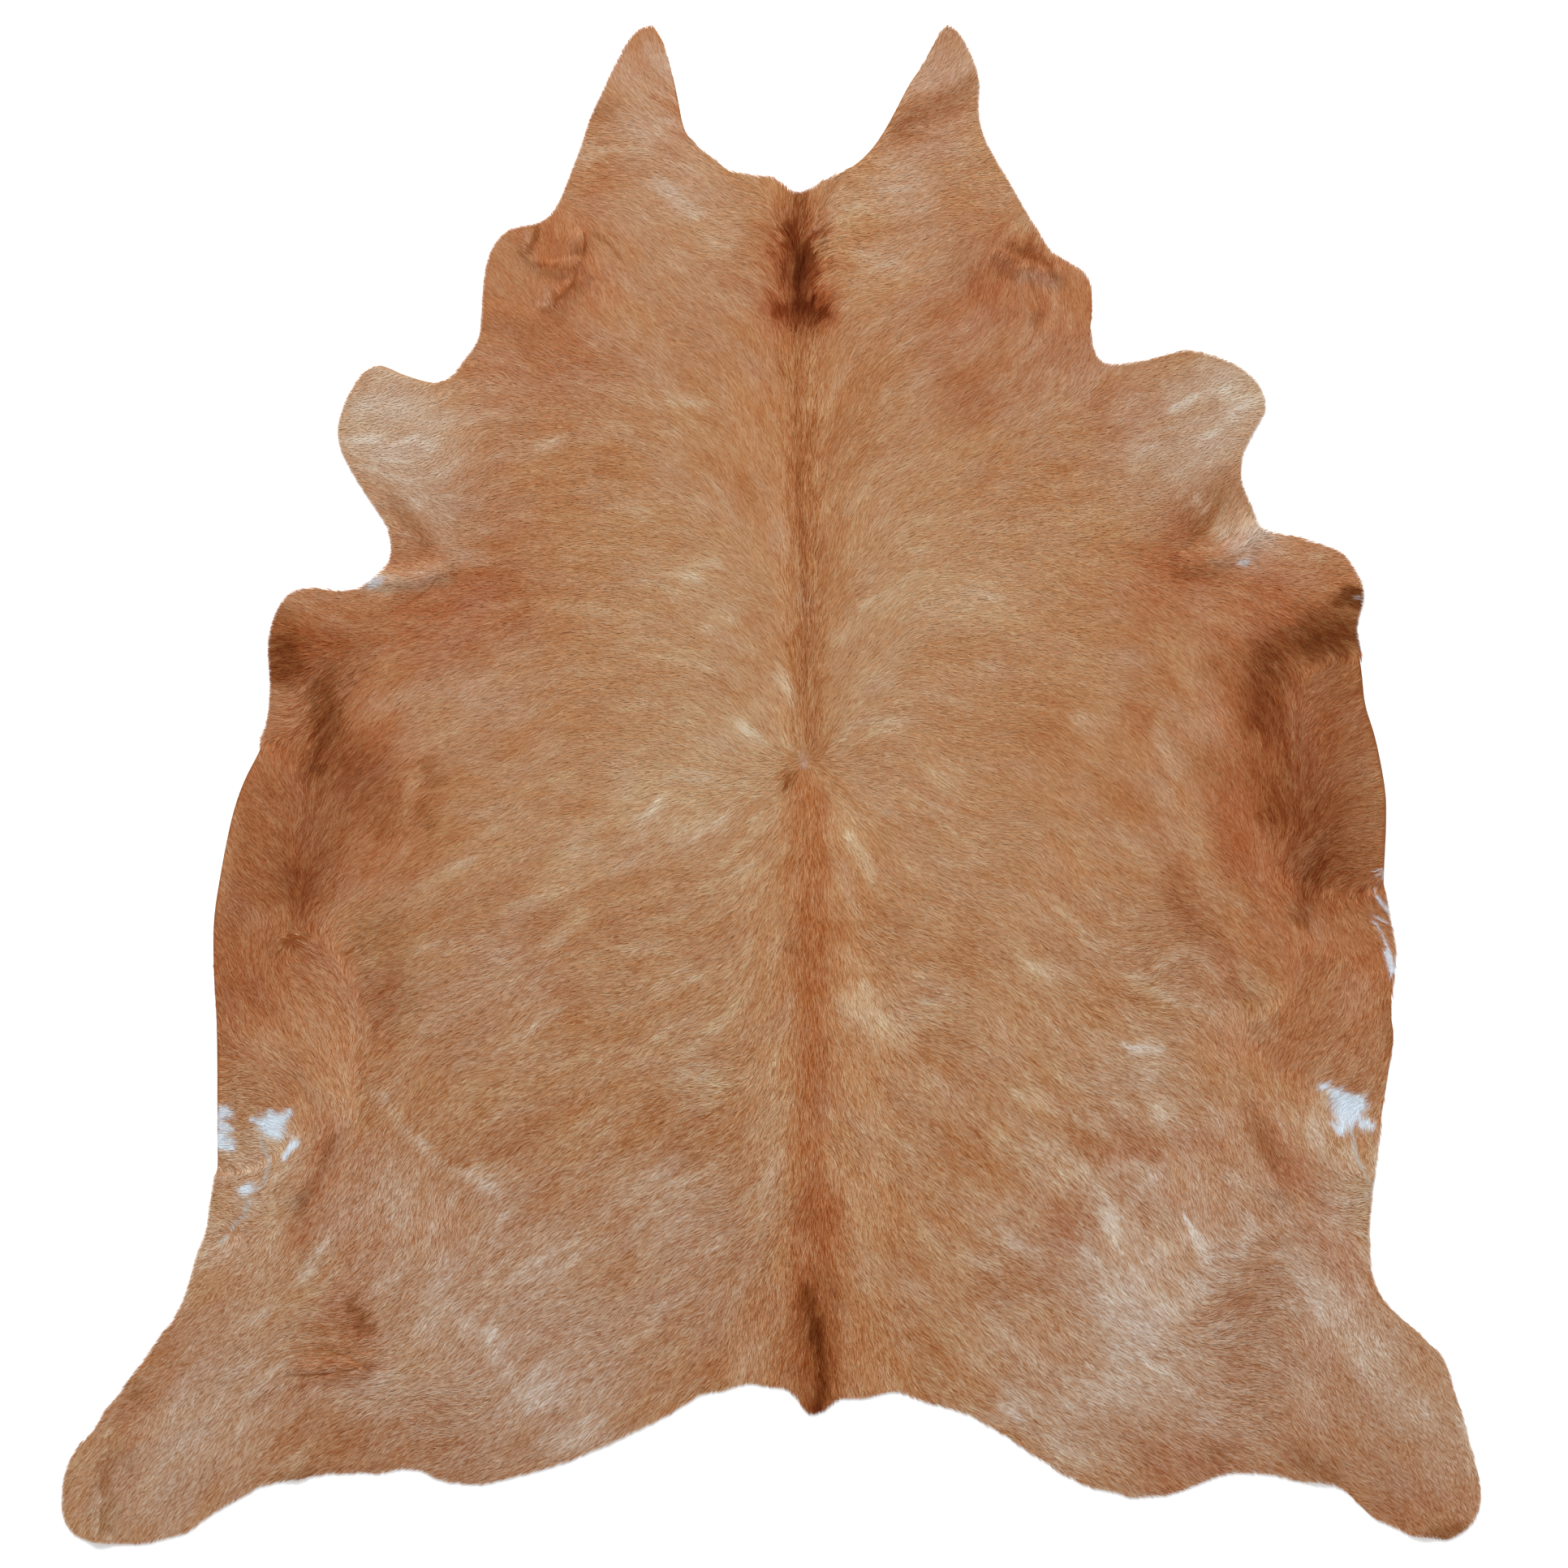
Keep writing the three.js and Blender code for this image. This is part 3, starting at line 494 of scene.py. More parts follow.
        Mark(20, 0.34, [(1110, 156), (1190, 116)]),
        Mark(24, 0.22, [(740, 140), (760, 200)]),
        Mark(60, 0.06, [(470, 1420), (520, 1480)]),
        Mark(16, 0.3, [(660, 1660), (676, 1646)]),
        Mark(16, 0.24, [(1100, 120), (1120, 134)]),
        Mark(18, 0.24, [(1448, 1486), (1466, 1494)]),
        Mark(18, 0.24, [(1484, 1204), (1500, 1214)]),
        Mark(18, 0.22, [(458, 1400), (474, 1412)]),
        Mark(20, 0.26, [(1656, 1646), (1682, 1640)]),
        Mark(20, 0.22, [(1326, 1802), (1350, 1812)]),
        Mark(18, 0.26, [(746, 1652), (768, 1642)]),
        Mark(16, 0.24, [(1444, 1160), (1462, 1176)]),
        Mark(30, 0.22, [(680, 1480), (700, 1520)]),
        Mark(30, 0.22, [(520, 640), (500, 660)]),
        Mark(40, 0.22, [(870, 350), (850, 430)]),
        Mark(60, 0.15, [(1240, 520), (1300, 560)]),
        Mark(50, 0.19, [(1060, 1640), (1120, 1700)]),
        Mark(50, 0.15, [(760, 1120), (740, 1180)]),
    ],
    "cream": [
        Mark(1.8, 0.5, [(986, 244), (988, 290), (985, 340)]),
        # Painted highlight along the ridge above the left notch fold.
        Mark(11, 0.6, [(470, 722), (510, 714), (544, 706)]),
        Mark(8, 0.3, [(1504, 696), (1530, 692)]),
        # Painted light over the shade of the right notch fold.
        Mark(16, 0.4, [(1548, 664), (1580, 670)]),
        Mark(60, 0.1, [(420, 1420), (450, 1520)]),
        Mark(40, 0.15, [(1500, 1650), (1530, 1670)]),
        Mark(40, 0.2, [(1440, 1550), (1470, 1570)]),
        Mark(30, 0.3, [(120, 1800), (110, 1880)]),
        Mark(50, 0.18, [(1080, 640), (1130, 660)]),
        Mark(30, 0.2, [(1670, 1040), (1690, 1080)]),
        Mark(50, 0.26, [(960, 930), (880, 930), (800, 940)]),
        Mark(90, 0.14, [(860, 680), (850, 860)]),
        Mark(44, 0.3, [(1066, 880), (1090, 760), (1190, 712)]),
        Mark(90, 0.12, [(1120, 900), (1120, 1010)]),
        Mark(14, 0.4, [(810, 996), (740, 1016), (690, 1056)]),
        Mark(11, 0.35, [(800, 1056), (720, 1078), (640, 1120)]),
        Mark(40, 0.25, [(950, 1030), (880, 1080)]),
        Mark(24, 0.35, [(1500, 450), (1556, 480)]),
        Mark(22, 0.45, [(1496, 610), (1530, 644)]),
        Mark(16, 0.35, [(1500, 660), (1536, 676)]),
        Mark(18, 0.24, [(742, 1252), (800, 1262)]),
        Mark(16, 0.26, [(716, 1134), (736, 1124)]),
        Mark(16, 0.22, [(840, 1676), (866, 1664)]),
        Mark(14, 0.22, [(896, 1022), (916, 1014)]),
        # Painted light over the shade of the right notch fold.
        Mark(14, 0.7, [(1556, 650), (1538, 682)]),
        Mark(14, 0.3, [(304, 1488), (336, 1504)]),
        Mark(16, 0.26, [(780, 1106), (806, 1098)]),
        Mark(18, 0.26, [(1086, 398), (1114, 406)]),
        Mark(16, 0.3, [(226, 1600), (236, 1620)]),
        Mark(16, 0.24, [(558, 1594), (576, 1584)]),
        Mark(14, 0.24, [(1654, 1420), (1666, 1434)]),
        Mark(40, 0.3, [(590, 460), (570, 480)]),
        Mark(34, 0.3, [(1680, 1480), (1670, 1570)]),
        Mark(50, 0.2, [(440, 1690), (470, 1710)]),
        Mark(40, 0.2, [(890, 710), (870, 760)]),
        Mark(28, 0.3, [(850, 226), (884, 276)]),
        Mark(30, 0.25, [(262, 1490), (246, 1570)]),
        Mark(26, 0.3, [(330, 1300), (300, 1350)]),
        Mark(36, 0.35, [(1560, 690), (1600, 700)]),
        Mark(30, 0.3, [(1680, 900), (1690, 1000)]),
        Mark(30, 0.25, [(1690, 1240), (1650, 1320)]),
        Mark(24, 0.2, [(480, 470), (520, 500)]),
        Mark(20, 0.3, [(500, 620), (540, 640)]),
        Mark(16, 0.3, [(484, 620), (498, 660)]),
        Mark(30, 0.12, [(1270, 350), (1290, 400)]),
        Mark(15, 0.24, [(1290, 1392), (1340, 1450), (1384, 1520)]),
        Mark(14, 0.3, [(1330, 1640), (1400, 1640), (1500, 1680)]),
        Mark(30, 0.25, [(440, 730), (370, 744)]),
        Mark(20, 0.35, [(1198, 92), (1200, 112)]),
        Mark(14, 0.4, [(286, 1000), (268, 1090)]),
        Mark(12, 0.35, [(760, 1112), (820, 1090)]),
        Mark(24, 0.25, [(1390, 500), (1410, 550)]),
        Mark(12, 0.35, [(590, 1440), (624, 1444)]),
        Mark(12, 0.35, [(1630, 676), (1660, 688)]),
        Mark(28, 0.22, [(1110, 1080), (1160, 1110)]),
        Mark(22, 0.25, [(1410, 572), (1440, 590)]),
        Mark(22, 0.25, [(800, 1306), (824, 1316)]),
        Mark(16, 0.25, [(620, 310), (640, 328)]),
        Mark(16, 0.2, [(934, 930), (950, 944)]),
        Mark(50, 0.2, [(360, 1640), (240, 1740)]),
        Mark(150, 0.12, [(700, 1080), (800, 1300)]),
        Mark(120, 0.12, [(1200, 1150), (1250, 1350)]),
        Mark(100, 0.14, [(480, 1560), (680, 1660)]),
        Mark(100, 0.14, [(1360, 1540), (1500, 1700)]),
        Mark(90, 0.18, [(280, 1720), (180, 1830)]),
        Mark(90, 0.12, [(1660, 1720), (1760, 1820)]),
        Mark(30, 0.3, [(1060, 700), (1110, 744), (1230, 740)]),
        Mark(40, 0.3, [(1060, 280), (1110, 240)]),
        Mark(26, 0.25, [(1080, 330), (1170, 330)]),
        Mark(8, 0.56, [(828, 492), (868, 500)]),
        Mark(6, 0.31, [(820, 532), (838, 528)]),
        Mark(9, 0.31, [(722, 550), (760, 532)]),
        Mark(8, 0.27, [(662, 550), (690, 542)]),
        Mark(8, 0.27, [(600, 750), (670, 744), (740, 752)]),
        Mark(9, 0.44, [(842, 706), (880, 692)]),
        Mark(9, 0.4, [(876, 770), (896, 754)]),
        Mark(16, 0.28, [(960, 850), (944, 868), (914, 896)]),
        Mark(16, 0.31, [(920, 900), (880, 930), (840, 946)]),
        Mark(6, 0.31, [(1046, 692), (1060, 660)]),
        Mark(9, 0.31, [(1104, 738), (1150, 726), (1198, 722)]),
        Mark(9, 0.35, [(1078, 898), (1102, 892)]),
        Mark(13, 0.23, [(742, 990), (800, 970)]),
        Mark(13, 0.39, [(662, 1088), (720, 1052), (788, 1030)]),
        Mark(12, 0.5, [(826, 1024), (884, 1010)]),
        Mark(10, 0.39, [(930, 1020), (962, 990)]),
        Mark(34, 0.35, [(800, 1000), (860, 985), (950, 960)]),
        Mark(10, 0.51, [(682, 1162), (714, 1126)]),
        Mark(9, 0.35, [(522, 1094), (570, 1066)]),
        Mark(7, 0.5, [(1046, 1036), (1062, 1058), (1074, 1080)]),
        Mark(10, 0.31, [(1042, 1174), (1070, 1192)]),
        Mark(20, 0.58, [(1046, 1232), (1076, 1250), (1108, 1270)]),
        Mark(14, 0.31, [(1060, 1240), (1090, 1264)]),
        Mark(12, 0.23, [(1332, 892), (1370, 864)]),
        Mark(7, 0.4, [(1424, 884), (1446, 956)]),
        Mark(8, 0.31, [(1442, 1016), (1478, 1046)]),
        Mark(6, 0.27, [(1330, 1162), (1350, 1163)]),
        Mark(9, 0.44, [(1262, 1194), (1290, 1212)]),
        Mark(7, 0.4, [(1432, 1186), (1462, 1170), (1500, 1198)]),
        Mark(8, 0.44, [(1402, 1204), (1448, 1236)]),
        Mark(24, 0.25, [(1370, 1270), (1420, 1310)]),
        Mark(10, 0.35, [(842, 1290), (864, 1290)]),
        Mark(9, 0.31, [(926, 1334), (954, 1316)]),
        Mark(13, 0.27, [(840, 1332), (870, 1320)]),
        Mark(24, 0.2, [(820, 1480), (880, 1460)]),
        Mark(14, 0.3, [(940, 1390), (970, 1340)]),
        Mark(7, 0.5, [(1242, 1342), (1280, 1364)]),
        Mark(9, 0.42, [(1268, 1336), (1300, 1370)]),
        Mark(8, 0.35, [(1322, 1380), (1360, 1395)]),
        Mark(12, 0.43, [(1232, 1406), (1262, 1432), (1290, 1460), (1310, 1464)]),
        Mark(8, 0.48, [(1312, 1446), (1400, 1434)]),
        Mark(9, 0.27, [(1242, 1532), (1270, 1546), (1310, 1540), (1350, 1560)]),
        Mark(10, 0.27, [(1212, 1622), (1250, 1650)]),
        Mark(20, 0.2, [(1160, 1640), (1220, 1670)]),
        Mark(9, 0.4, [(500, 1010), (512, 960)]),
        Mark(14, 0.25, [(760, 1240), (840, 1200)]),
        Mark(30, 0.3, [(470, 560), (440, 540)]),
        Mark(20, 0.2, [(1470, 590), (1500, 560)]),
        Mark(46, 0.8, [(312, 1430), (298, 1490), (284, 1540)]),
        Mark(22, 0.4, [(334, 1410), (316, 1440)]),
        Mark(30, 0.16, [(1640, 1420), (1610, 1400)]),
    ],
    # Cool marks: greyer, pinker hair, and over the haunches partly a painted sheen.
    "cool": [
        Mark(150, 0.06, [(640, 1180), (760, 1420)]),
        Mark(150, 0.08, [(1160, 1400), (1320, 1300)]),
        Mark(90, 0.15, [(900, 1500), (880, 1620)]),
        Mark(50, 0.5, [(790, 60), (790, 180)]),
        Mark(60, 0.35, [(850, 230), (800, 300)]),
        Mark(60, 0.28, [(760, 440), (860, 400)]),
        Mark(46, 0.5, [(1165, 60), (1150, 100)]),
        Mark(46, 0.5, [(1150, 170), (1130, 200)]),
        Mark(60, 0.3, [(1110, 280), (1160, 300)]),
        Mark(70, 0.28, [(1130, 430), (1250, 480)]),
        Mark(80, 0.48, [(480, 510), (540, 600)]),
        Mark(60, 0.25, [(640, 520), (680, 500)]),
        Mark(80, 0.46, [(1480, 500), (1450, 570)]),
        Mark(50, 0.3, [(1340, 440), (1380, 540)]),
        Mark(26, 0.35, [(1530, 680), (1560, 668)]),
        Mark(14, 0.1, [(470, 716), (530, 708)]),
        Mark(70, 0.3, [(600, 830), (560, 860)]),
        Mark(70, 0.3, [(560, 1240), (620, 1200)]),
        Mark(110, 0.62, [(480, 1520), (560, 1620), (640, 1700)]),
        Mark(90, 0.5, [(640, 1520), (720, 1620)]),
        Mark(90, 0.55, [(500, 1760), (700, 1760)]),
        Mark(90, 0.6, [(300, 1700), (220, 1820)]),
        Mark(60, 0.12, [(420, 1440), (400, 1560)]),
        Mark(60, 0.4, [(820, 1480), (860, 1600)]),
        Mark(120, 0.6, [(1400, 1540), (1420, 1700)]),
        Mark(90, 0.6, [(1560, 1560), (1540, 1760)]),
        Mark(90, 0.65, [(1640, 1640), (1740, 1800)]),
        Mark(70, 0.4, [(1280, 1720), (1340, 1760)]),
        Mark(60, 0.3, [(1240, 1640), (1260, 1540)]),
        Mark(80, 0.3, [(1420, 1380), (1520, 1440)]),
        Mark(50, 0.35, [(1640, 1480), (1620, 1430)]),
        Mark(40, 0.08, [(290, 1460), (280, 1540)]),
        Mark(60, 0.25, [(1440, 900), (1460, 1020)]),
        Mark(60, 0.25, [(1400, 1160), (1480, 1220)]),
        Mark(60, 0.2, [(900, 440), (900, 380)]),
    ],
    # Pale marks: lighter, cooler hair, over the haunches partly a painted sheen, with painted highlights
    # on the cheeks and folds as marked.
    "pale": [
        # Painted highlights on the lumps and roll of the left cheek.
        Mark(2.5, 0.45, [(650, 286), (651, 294)]),
        Mark(4, 0.28, [(712, 292), (706, 303)]),
        Mark(1.6, 0.3, [(700, 288), (710, 285), (718, 291)]),
        # Painted light on the shaded side of the right cheek roll.
        Mark(10, 0.4, [(1262, 338), (1290, 348)]),
        # The left cheek's lower lump: a pale patch, and a painted highlight along its crease.
        Mark(6, 0.3, [(680, 357), (673, 370)]),
        Mark(1.4, 0.5, [(662, 372), (670, 377), (678, 374)]),
        Mark(30, 0.16, [(790, 90), (820, 110), (790, 150)]),
        Mark(10, 0.24, [(830, 90), (800, 60)]),
        Mark(9, 0.32, [(810, 220), (856, 264)]),
        Mark(14, 0.24, [(730, 184), (716, 190)]),
        Mark(30, 0.16, [(1150, 90), (1130, 120)]),
        Mark(60, 0.32, [(470, 510), (480, 560)]),
        Mark(17, 0.36, [(444, 500), (500, 508), (540, 520)]),
        Mark(40, 0.2, [(530, 580), (560, 630)]),
        Mark(50, 0.32, [(1490, 520), (1530, 490)]),
        Mark(20, 0.24, [(1450, 490), (1500, 476)]),
        Mark(14, 0.32, [(1520, 500), (1540, 494)]),
        Mark(40, 0.18, [(1480, 570), (1500, 560)]),
        Mark(20, 0.26, [(1520, 664), (1550, 660)]),
        # Painted highlight on the ridge above the left notch fold.
        Mark(8, 0.1, [(484, 712), (530, 706)]),
        Mark(14, 0.12, [(800, 1440), (860, 1470)]),
        Mark(6, 0.32, [(1440, 1420), (1420, 1450), (1396, 1480)]),
        Mark(7, 0.62, [(1386, 1294), (1424, 1290)]),
        Mark(8, 0.62, [(568, 1442), (590, 1452), (612, 1464)]),
        Mark(5, 0.4, [(466, 1346), (500, 1390), (556, 1446)]),
        Mark(7, 0.42, [(372, 1576), (400, 1534)]),
        Mark(10, 0.42, [(1512, 1448), (1530, 1460)]),
        Mark(7, 0.28, [(620, 1500), (610, 1530)]),
        Mark(7, 0.3, [(630, 1580), (690, 1560), (752, 1526)]),
        Mark(12, 0.28, [(540, 1560), (530, 1640)]),
        Mark(12, 0.32, [(610, 1650), (622, 1690)]),
        Mark(18, 0.28, [(650, 1720), (690, 1712)]),
        Mark(16, 0.4, [(690, 1776), (736, 1764)]),
        Mark(9, 0.36, [(560, 1610), (600, 1650)]),
        Mark(9, 0.24, [(470, 1700), (486, 1690)]),
        Mark(22, 0.16, [(420, 1730), (460, 1710)]),
        Mark(30, 0.16, [(230, 1790), (200, 1850)]),
        Mark(30, 0.06, [(660, 1590), (600, 1540)]),
        Mark(20, 0.34, [(1370, 1590), (1404, 1630), (1380, 1660)]),
        Mark(40, 0.22, [(1380, 1560), (1400, 1680)]),
        Mark(26, 0.32, [(1330, 1730), (1370, 1710)]),
        Mark(8, 0.46, [(1470, 1520), (1484, 1552)]),
        Mark(8, 0.42, [(1542, 1510), (1528, 1546)]),
        Mark(10, 0.28, [(1400, 1560), (1450, 1530)]),
        Mark(18, 0.24, [(1440, 1620), (1470, 1590)]),
        Mark(12, 0.32, [(1360, 1510), (1380, 1490)]),
        Mark(24, 0.32, [(1242, 1726), (1290, 1760), (1326, 1796)]),
        Mark(10, 0.28, [(1240, 1722), (1262, 1744)]),
        Mark(20, 0.36, [(1596, 1546), (1626, 1604)]),
        Mark(24, 0.28, [(1650, 1640), (1700, 1660)]),
        Mark(12, 0.24, [(1680, 1690), (1720, 1720), (1764, 1756)]),
        Mark(26, 0.2, [(1640, 1610), (1690, 1640)]),
        Mark(14, 0.32, [(1600, 1704), (1624, 1750)]),
        Mark(26, 0.16, [(1640, 1480), (1670, 1470)]),
        Mark(40, 0.16, [(1420, 1720), (1440, 1690)]),
        Mark(10, 0.24, [(1480, 1756), (1500, 1730)]),
        Mark(10, 0.2, [(1330, 1540), (1356, 1564)]),
        Mark(14, 0.24, [(1440, 1370), (1420, 1390)]),
        Mark(8, 0.35, [(1690, 1410), (1695, 1440)]),
        Mark(14, 0.35, [(1808, 1764), (1818, 1806)]),
        # Painted light on the lit side of the left foot fold's ridge.
        Mark(5, 0.2, [(121, 1824), (117, 1888)]),
        Mark(12, 0.34, [(305, 1476), (307, 1488)]),
        Mark(12, 0.3, [(322, 1400), (336, 1404)]),
        Mark(12, 0.3, [(1636, 1362), (1648, 1370)]),
        Mark(10, 0.26, [(444, 720), (460, 718)]),
        Mark(14, 0.3, [(1372, 452), (1400, 454)]),
        Mark(8, 0.25, [(1662, 1418), (1676, 1434)]),
        Mark(12, 0.25, [(1190, 1738), (1214, 1752)]),
        Mark(14, 0.2, [(1160, 100), (1180, 118)]),
        Mark(12, 0.24, [(1500, 1380), (1508, 1384)]),
    ],
    "white": [
        Mark(7, 0.9, [(268, 1372), (278, 1370)]),
        Mark(8, 0.9, [(268, 1386), (276, 1388)]),
        Mark(8, 0.9, [(268, 1402), (276, 1404)]),
        Mark(4.4, 0.95, [(268, 1411), (286, 1414)]),
        Mark(10, 1.0, [(329, 1385), (344, 1383)]),
        Mark(3, 1.0, [(309, 1379), (322, 1384)]),
        Mark(3, 1.0, [(332, 1369), (336, 1380)]),
        Mark(3.5, 1.0, [(356, 1370), (350, 1380)]),
        Mark(6, 1.0, [(332, 1394), (342, 1398)]),
        Mark(3.6, 1.0, [(366, 1406), (357, 1414), (351, 1424)]),
        Mark(6.5, 1.0, [(303, 1467), (309, 1464)]),
        Mark(5, 1.0, [(1631, 1338), (1642, 1352)]),
        Mark(10, 1.0, [(1648, 1354), (1668, 1366)]),
        Mark(11, 1.0, [(1656, 1366), (1660, 1374)]),
        Mark(7, 1.0, [(1664, 1360), (1681, 1359)]),
        Mark(5, 1.0, [(1672, 1376), (1689, 1387)]),
        Mark(6, 1.0, [(1646, 1384), (1652, 1384)]),
        Mark(3.4, 0.9, [(1700, 1074), (1708, 1085)]),
        Mark(2.6, 0.7, [(1699, 1108), (1709, 1122)]),
        Mark(1.4, 0.6, [(1692, 1128), (1709, 1137)]),
        Mark(1.6, 0.6, [(1694, 1136), (1702, 1148), (1710, 1168)]),
        Mark(4, 0.9, [(1709, 1172), (1716, 1196)]),
        # A painted glint on the right knee fold.
        Mark(1.5, 0.6, [(1672, 737), (1676, 736)]),
        Mark(3.2, 0.65, [(1530, 694), (1538, 692)]),
        Mark(5, 0.6, [(458, 720), (468, 715)]),
    ],
    "bare": [
        Mark(4, 0.3, [(989, 930), (991, 944)]),
        Mark(1.5, 0.9, [(322, 1403), (327, 1420), (331, 1430), (325, 1455), (318, 1465)]),
        Mark(1.7, 0.9, [(308, 1478), (303, 1492), (299, 1500), (288, 1510), (272, 1532)]),
        Mark(1.6, 0.85, [(1662, 1388), (1668, 1400), (1669, 1414), (1673, 1430), (1680, 1440)]),
        Mark(1.8, 0.45, [(1680, 1440), (1688, 1462), (1684, 1478)]),
    ],
    "slit": [
        Mark(1.5, 0.45, [(661, 278), (658, 292), (650, 306)]),
        Mark(1.2, 0.42, [(637, 308), (647, 319), (659, 325), (671, 328), (685, 330), (700, 331),
                         (710, 328), (718, 320)]),
        Mark(1.3, 0.45, [(720, 316), (722, 304), (719, 287)]),
        Mark(1.8, 0.5, [(708, 349), (696, 362), (685, 372)]),
        Mark(1.5, 0.42, [(540, 714), (524, 730), (506, 742)]),
        Mark(1.3, 0.42, [(1262, 314), (1282, 322), (1296, 328)]),
        Mark(1.4, 0.4, [(1262, 332), (1274, 356), (1280, 380)]),
        Mark(1.6, 0.55, [(1461, 676), (1474, 686), (1486, 696)]),
        Mark(1.4, 0.45, [(1500, 673), (1508, 666), (1518, 660)]),
        Mark(1.4, 0.55, [(356, 1694), (398, 1693), (440, 1687)]),
        Mark(1.3, 0.45, [(400, 1664), (430, 1672), (456, 1688)]),
        Mark(1.4, 0.5, [(126, 1856), (124, 1893)]),
        Mark(1.6, 0.5, [(973, 955), (968, 972)]),
    ],
    "short": [
        Mark(40, 0.6, [(660, 290), (690, 370)]),
        Mark(24, 0.5, [(470, 740), (540, 716)]),
        Mark(70, 1.0, [(470, 500), (560, 620)]),
        Mark(70, 1.0, [(1500, 480), (1450, 600)]),
        Mark(50, 0.7, [(640, 310), (640, 400)]),
        Mark(50, 0.6, [(1250, 310), (1320, 400)]),
        Mark(70, 0.8, [(260, 1680), (130, 1850)]),
        Mark(80, 0.8, [(1640, 1620), (1770, 1840)]),
        Mark(40, 0.6, [(790, 50), (1170, 50)]),
        Mark(16, 1.0, [(990, 936)]),
        Mark(60, 0.9, [(310, 1390), (290, 1560)]),
        Mark(60, 0.5, [(430, 1430), (480, 1540)]),
        Mark(40, 0.5, [(310, 980), (300, 1200)]),
        Mark(40, 0.6, [(1670, 1380), (1660, 1480)]),
    ],
    "long": [
        Mark(20, 1.0, [(988, 400), (990, 900)]),
        Mark(18, 0.8, [(998, 990), (1003, 1740)]),
        Mark(24, 0.8, [(985, 260), (985, 380)]),
        Mark(30, 0.7, [(392, 850), (375, 1150)]),
        Mark(30, 0.7, [(1580, 820), (1605, 1100)]),
        Mark(24, 0.7, [(436, 1180), (430, 1390)]),
    ],
}

# The marks that colour the coat. The others change its tone or its length.
COLOURS = ("dark", "rust", "cool", "white", "bare")

# The folds of the hide, the same as the CAD solid's: how far each lifts the sheet and how far
# its side reaches, in millimetres, and the points of its crest in millimetres from FOLD_ORIGIN.
FOLD_ORIGIN = (-0.0005, 0.0013)
MILLIMETRE = 0.001
Fold = namedtuple("Fold", "name lift reach crest")
FOLDS = [
    Fold("left notch fold", 8, 26, [(-590, 303), (-545, 303), (-488, 312)]),
    Fold("left cheek roll", 5, 20, [(-368, 800), (-352, 772), (-324, 761), (-284, 766)]),
    Fold("left cheek lump", 5, 26, [(-286, 800)]),
    Fold("left cheek slant", 4, 18, [(-276, 752), (-318, 706)]),
    Fold("left cheek drop", 4, 17, [(-336, 736), (-332, 706)]),
    Fold("left cheek foot", 4, 30, [(-410, 690), (-360, 678)]),
    Fold("right cheek roll", 6, 24, [(338, 776), (376, 762), (424, 750)]),
    Fold("right cheek slant", 5, 20, [(370, 752), (384, 716), (392, 694)]),
    Fold("right notch fold", 7, 28, [(712, 372), (678, 340), (616, 322)]),
    Fold("right notch dip", 4, 30, [(662, 430), (640, 396), (600, 372)]),
    Fold("left knee fold", 5, 34, [(-738, 222), (-690, 206), (-650, 176)]),
    Fold("right knee fold", 6, 34, [(872, 284), (820, 262), (770, 232)]),
    Fold("left elbow fold", 6, 28, [(-636, 144), (-660, 84), (-676, 32)]),
    Fold("left flank fold", 4, 44, [(-688, 10), (-700, -90), (-712, -226)]),
    Fold("right flank fold", 5, 44, [(762, 150), (754, 40), (768, -70), (794, -178)]),
    Fold("left stifle fold", 6, 26, [(-684, -424), (-652, -492), (-664, -552), (-694, -606)]),
    Fold("right stifle fold", 5, 28, [(712, -484), (728, -530), (748, -602)]),
    Fold("left foot fold", 6, 24, [(-988, -1036), (-991, -1080), (-991, -1122)]),
    Fold("left haunch fold", 4, 26, [(-690, -868), (-612, -870)]),
    Fold("left butt lip", 4, 24, [(-704, -1028), (-690, -1000)]),
    Fold("right butt lip", 4, 26, [(812, -1032), (800, -1000)]),
    Fold("right foot lip", 4, 26, [(966, -1116), (950, -1088)]),
    Fold("backbone", 3, 46, [(42, 860), (46, 640), (52, 36), (60, -890)]),
    Fold("hump", 4, 40, [(42, 790), (44, 700)]),
]

